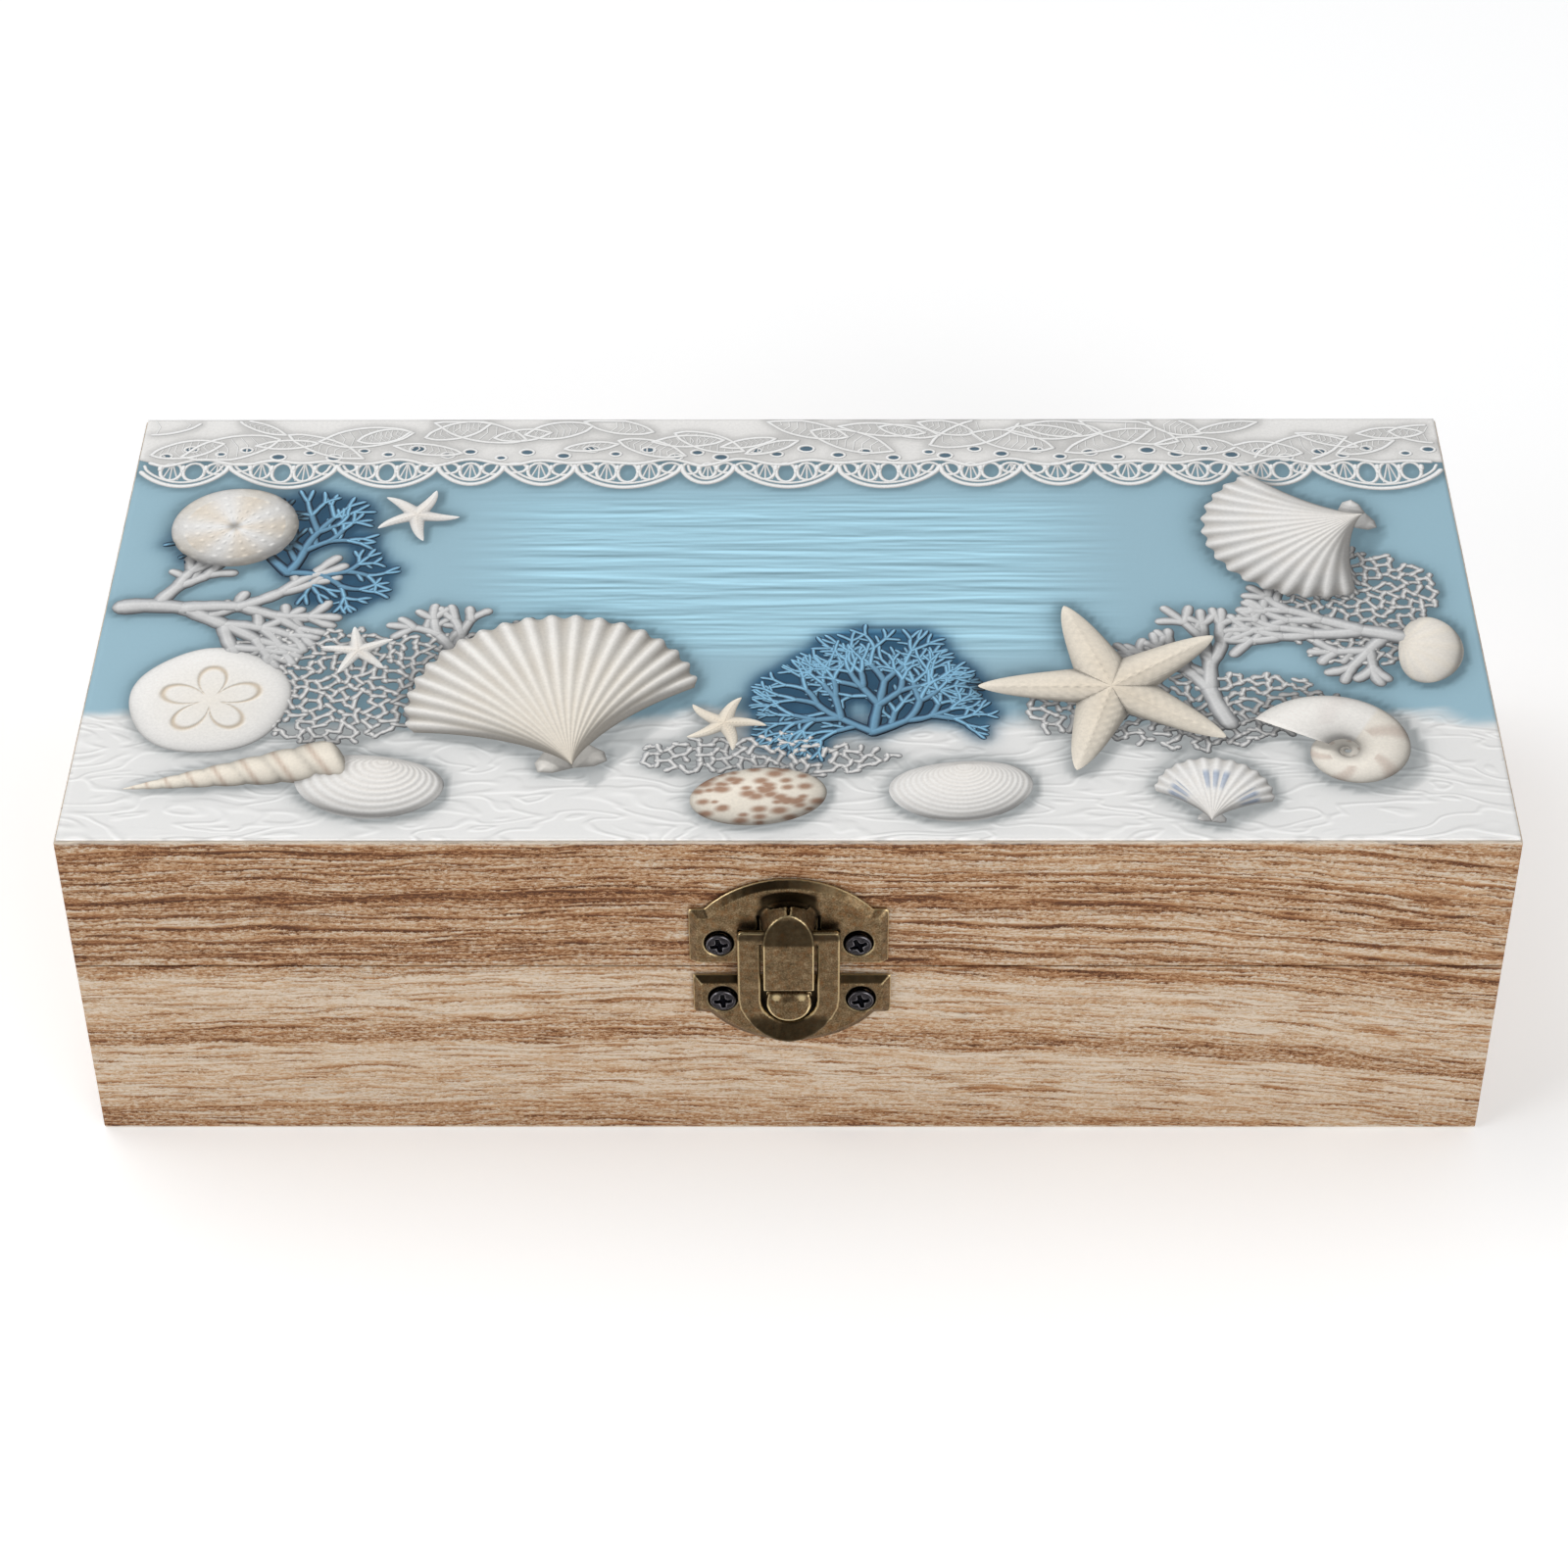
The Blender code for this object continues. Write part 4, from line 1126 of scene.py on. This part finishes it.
PICTURE = {
    "print_lace": lace(),
    "print_coral_net": sum((netting(*row) for row in NETS), []),
    "print_coral_white": sum((branches(*row, 0.3, CORAL_SIDE, WHITE) for row in WHITE_CORALS), []),
    "print_coral_blue": sum((branches(*row, 0.5, DEEP_BLUE, PALE_BLUE) for row in BLUE_CORALS), []),
    "print_shells_left": placed(
        (scallop(19), -30, -33, 14, 33, 0.4),
        (urchin(), -83, 21, 0, 9.5, 0.5),
        (turret(), -92, -38, 12, 31, 0.4),
        (clam(11), -58, -37, -8, 10.5, 0.5),
        (sand_dollar(), -82, -19, 20, 11.5, 0.4),
        (spotted_pebble(), -4, -39.5, 8, 9.5, 0.4),
    ),
    "print_shells_right": placed(
        (scallop(15, 112, WHITE), 86, 24, 115, 25, 0.4),
        (nautilus(), 78, -30, 25, 14, 0.4),
        (clam(15), 24, -38, 6, 10.0, 0.5),
        (scallop(13, 116, WHITE, RIM_BLUE), 58, -44.5, -8, 13, 0.8),
        (clam(9, CREAM, True), 92, -8, 80, 7.5, 0.6),
    ),
    "print_starfish": placed(
        (starfish(), 46, -16, 18, 19, 1.5),
        (starfish(0.17, WHITE, 0.15), -56, 24, 40, 6.5, 0.9),
        (starfish(0.17, WHITE), -62, -8, 10, 5.5, 0.9),
        (starfish(0.18, bend=-0.2), -9, -24, 60, 6.0, 0.9),
        (starfish(0.17, WHITE), 68, 14, 22, 5.0, 0.9),
    ),
}
# How strongly the painted light shows, where it isn't 1
CONTRAST = {
    "print_coral_blue": 2.4, "print_coral_white": 1.6, "print_coral_net": 1.4, "print_lace": 1.15,
}

cells_x = int((RIGHT - LEFT) / CELL) + 1
cells_y = int((BACK - FRONT) / CELL) + 1


def cells_under(sheet):
    """Rows and columns of the cells that a form's points lie in."""
    rows = ((sheet.grid[..., 1] - FRONT) / CELL).round().astype(int)
    columns = ((sheet.grid[..., 0] - LEFT) / CELL).round().astype(int)
    return np.clip(rows, 0, cells_y - 1), np.clip(columns, 0, cells_x - 1)


def blurred(field, size):
    """A soft copy of a grid of cells, averaged over about size millimetres."""
    reach = max(1, int(size / CELL * 2.5))
    weights = np.exp(-0.5 * (np.arange(-reach, reach + 1) * CELL / size) ** 2)
    weights /= weights.sum()
    for _ in range(2):
        rows = len(field)
        padded = np.pad(field, ((reach, reach), (0, 0)), mode="edge")
        field = sum(weight * padded[k : k + rows] for k, weight in enumerate(weights)).T
    return field


relief = np.zeros((cells_y, cells_x))
for sheets in PICTURE.values():
    for sheet in sheets:
        np.maximum.at(relief, cells_under(sheet), sheet.grid[..., 2])
spread_relief = np.pad(relief, 1)
relief = np.max(
    [spread_relief[i : i + cells_y, j : j + cells_x] for i in (0, 1, 2) for j in (0, 1, 2)], axis=0
)
SOFT, WIDE, BROAD = blurred(relief, 0.5), blurred(relief, 1.6), blurred(relief, 4.0)


def read(field, x, y):
    """Values of a grid of cells at points, smoothly between the cells."""
    u = np.clip((x - LEFT) / CELL, 0, cells_x - 1.001)
    v = np.clip((y - FRONT) / CELL, 0, cells_y - 1.001)
    i, j = v.astype(int), u.astype(int)
    s, t = v - i, u - j
    return (
        field[i, j] * (1 - s) * (1 - t) + field[i + 1, j] * s * (1 - t)
        + field[i, j + 1] * (1 - s) * t + field[i + 1, j + 1] * s * t
    )


def shading(x, y, height, normals):
    """Painted light on points of the picture."""
    light = SHADE + SUNLIGHT * held(normals @ (SUN / np.linalg.norm(SUN)))
    level = np.linalg.norm(SUN[:2])
    cast = np.zeros(x.shape)
    for step in (0.7, 1.2, 1.9, 2.8, 4.0, 5.5):
        over = read(SOFT, x + SUN[0] / level * step, y + SUN[1] / level * step)
        over = over - height - SUN[2] / level * step * 0.75
        cast = np.maximum(cast, held(over / (0.35 + 0.25 * step)))
    nook = np.clip(read(WIDE, x, y) - height, 0, 1.2) / 1.2
    nook += 0.3 * np.clip(read(BROAD, x, y) - height, 0, 1.5) / 1.5
    groove = np.clip(read(SOFT, x, y) - height - 0.15, 0, 0.5) / 0.5
    return light * (1 - 0.30 * cast) * (1 - 0.22 * held(nook)) * (1 - 0.20 * groove)


def painted(sheet, contrast):
    """A form laid flat: its points, their painted colours and whether its rows are rings."""
    x, y = np.clip(sheet.grid[..., 0], LEFT, RIGHT), np.clip(sheet.grid[..., 1], FRONT, BACK)
    height = sheet.grid[..., 2]
    shade = shading(x, y, height, sheet.normals()) ** contrast
    colour = held(sheet.colour * shade[..., None])
    return np.dstack([x, y, INK_TOP + FLATTEN * height]), colour, sheet.ring


def print_piece(name, forms, floor, look):
    """One mesh of painted forms, each closed down to a floor."""
    points, tints, faces, first = [], [], [], 0
    for grid, colour, ring in forms:
        rows, columns = grid.shape[:2]
        index = np.arange(rows * columns).reshape(rows, columns)
        if ring:
            border = index[-1]
            index = np.hstack([index, index[:, :1]])
        else:
            border = np.concatenate([index[0], index[1:, -1], index[-1, -2::-1], index[-2:0:-1, 0]])
        below = rows * columns + np.arange(len(border))
        top = np.dstack([index[:-1, :-1], index[:-1, 1:], index[1:, 1:], index[1:, :-1]]).reshape(-1, 4)
        sides = np.stack([border, np.roll(border, -1), np.roll(below, -1), below], axis=1)
        for group in (top, sides, below[None]):
            faces += (first + group).tolist()
        grid, colour = grid.reshape(-1, 3), colour.reshape(-1, 3)
        points += [grid, grid[border] * (1, 1, 0) + (0, 0, floor)]
        tints += [colour, colour[border]]
        first += len(grid) + len(border)
    mesh = bpy.data.meshes.new(name)
    mesh.from_pydata(np.vstack(points).tolist(), [], faces)
    bm = bmesh.new()
    bm.from_mesh(mesh)
    bpy.data.meshes.remove(mesh)
    mesh = new_mesh(name, bm)
    layer = mesh.color_attributes.new("ink", "FLOAT_COLOR", "POINT")
    rgba = np.ones((first, 4), np.float32)
    rgba[:, :3] = np.vstack(tints)
    layer.data.foreach_set("color", rgba.ravel())
    show_instead(name, "lid_print_film", mesh, look)


def ink_look():
    """Ink of the picture's figures, with a fine paper tooth."""
    look = Look("printed_figures")
    tooth = look.noise(look.place(), 2.2, 4.0, 0.7)
    colour = look.lit(look.attribute("ink", 0), tooth.span(0.2, 0.8, 0.94, 1.14))
    look.set(Base_Color=colour, Roughness=tooth.span(0.3, 0.7, 0.42, 0.5), Specular_IOR_Level=0.2)
    return look.material


def ground_look():
    """Ink of the picture's ground: water with fine wavelets that fades into rippled sand."""
    look = Look("printed_ground")
    point = look.place()
    x, y, _ = look.split(point)
    wander = look.noise(look.join(x * 0.05, y * 0.1, 0.0), detail=3.0).swing(5.0)
    shore = (y + wander).span(-21.0, -24.5, smooth=True)

    def wavelets(lift):
        vector = look.join(x * 0.028, (y + lift) * 0.62, 3.0)
        return look.noise(vector, detail=4.0, roughness=0.55, distortion=0.25)

    def ripples(lift):
        vector = look.join(x * 0.085, (y + lift) * 0.24, 9.0)
        swell = look.noise(vector, detail=1.0, roughness=0.4, distortion=0.7)
        return abs(look.math("FRACT", swell * 5.0) - 0.5).span(0.0, 0.26, smooth=True)

    glow = abs(x).span(52.0, 30.0, smooth=True) * abs(y - 10.0).span(22.0, 14.0, smooth=True)
    waves = (wavelets(0.0) - wavelets(0.55)) * (glow * 1.9)
    sand = (ripples(0.0) - ripples(0.45)) * 0.16
    tooth = look.noise(point, 2.4, 3.0, 0.7).swing(0.03)
    pale = look.math("MAXIMUM", shore, y.span(46.0, 47.0))
    colour = look.mix(pale, look.mix(glow, rgb(161, 196, 211), rgb(171, 214, 231)), rgb(243, 242, 240))
    colour = look.lit(colour, waves * (1.0 - shore) + sand * shore + (tooth + 1.0))
    colour = look.mix(1.0, colour, look.attribute("ink", 0), "MULTIPLY")
    look.set(Base_Color=colour, Roughness=0.46, Specular_IOR_Level=0.2)
    return look.material


INK = ink_look()
for piece_name, sheets in PICTURE.items():
    forms = [painted(sheet, CONTRAST.get(piece_name, 1.0)) for sheet in sheets]
    print_piece(piece_name, forms, INK_FLOOR, INK)

xs, ys = np.arange(LEFT, RIGHT, GROUND_STEP), np.arange(FRONT, BACK, GROUND_STEP)
gx, gy = np.meshgrid(np.append(xs, RIGHT), np.append(ys, BACK))
up = np.broadcast_to((0.0, 0.0, 1.0), (*gx.shape, 3))
open_light = SHADE + SUNLIGHT * SUN[2] / np.linalg.norm(SUN)
tone = np.clip(shading(gx, gy, np.zeros(gx.shape), up) / open_light, 0, 1.1)
blue = np.zeros((cells_y, cells_x))
for sheet in PICTURE["print_coral_blue"]:
    blue[cells_under(sheet)] = 1.0
blue = held(read(blurred(blue, 1.3), gx, gy) * 1.7)
tints = np.dstack([tone**1.1, tone**1.03, tone]) * blend(1.0, np.array([0.12, 0.30, 0.46]), blue)
ground = np.dstack([gx, gy, np.full(gx.shape, INK_TOP)])
print_piece("print_ground", [(ground, tints, False)], GROUND_FLOOR, ground_look())
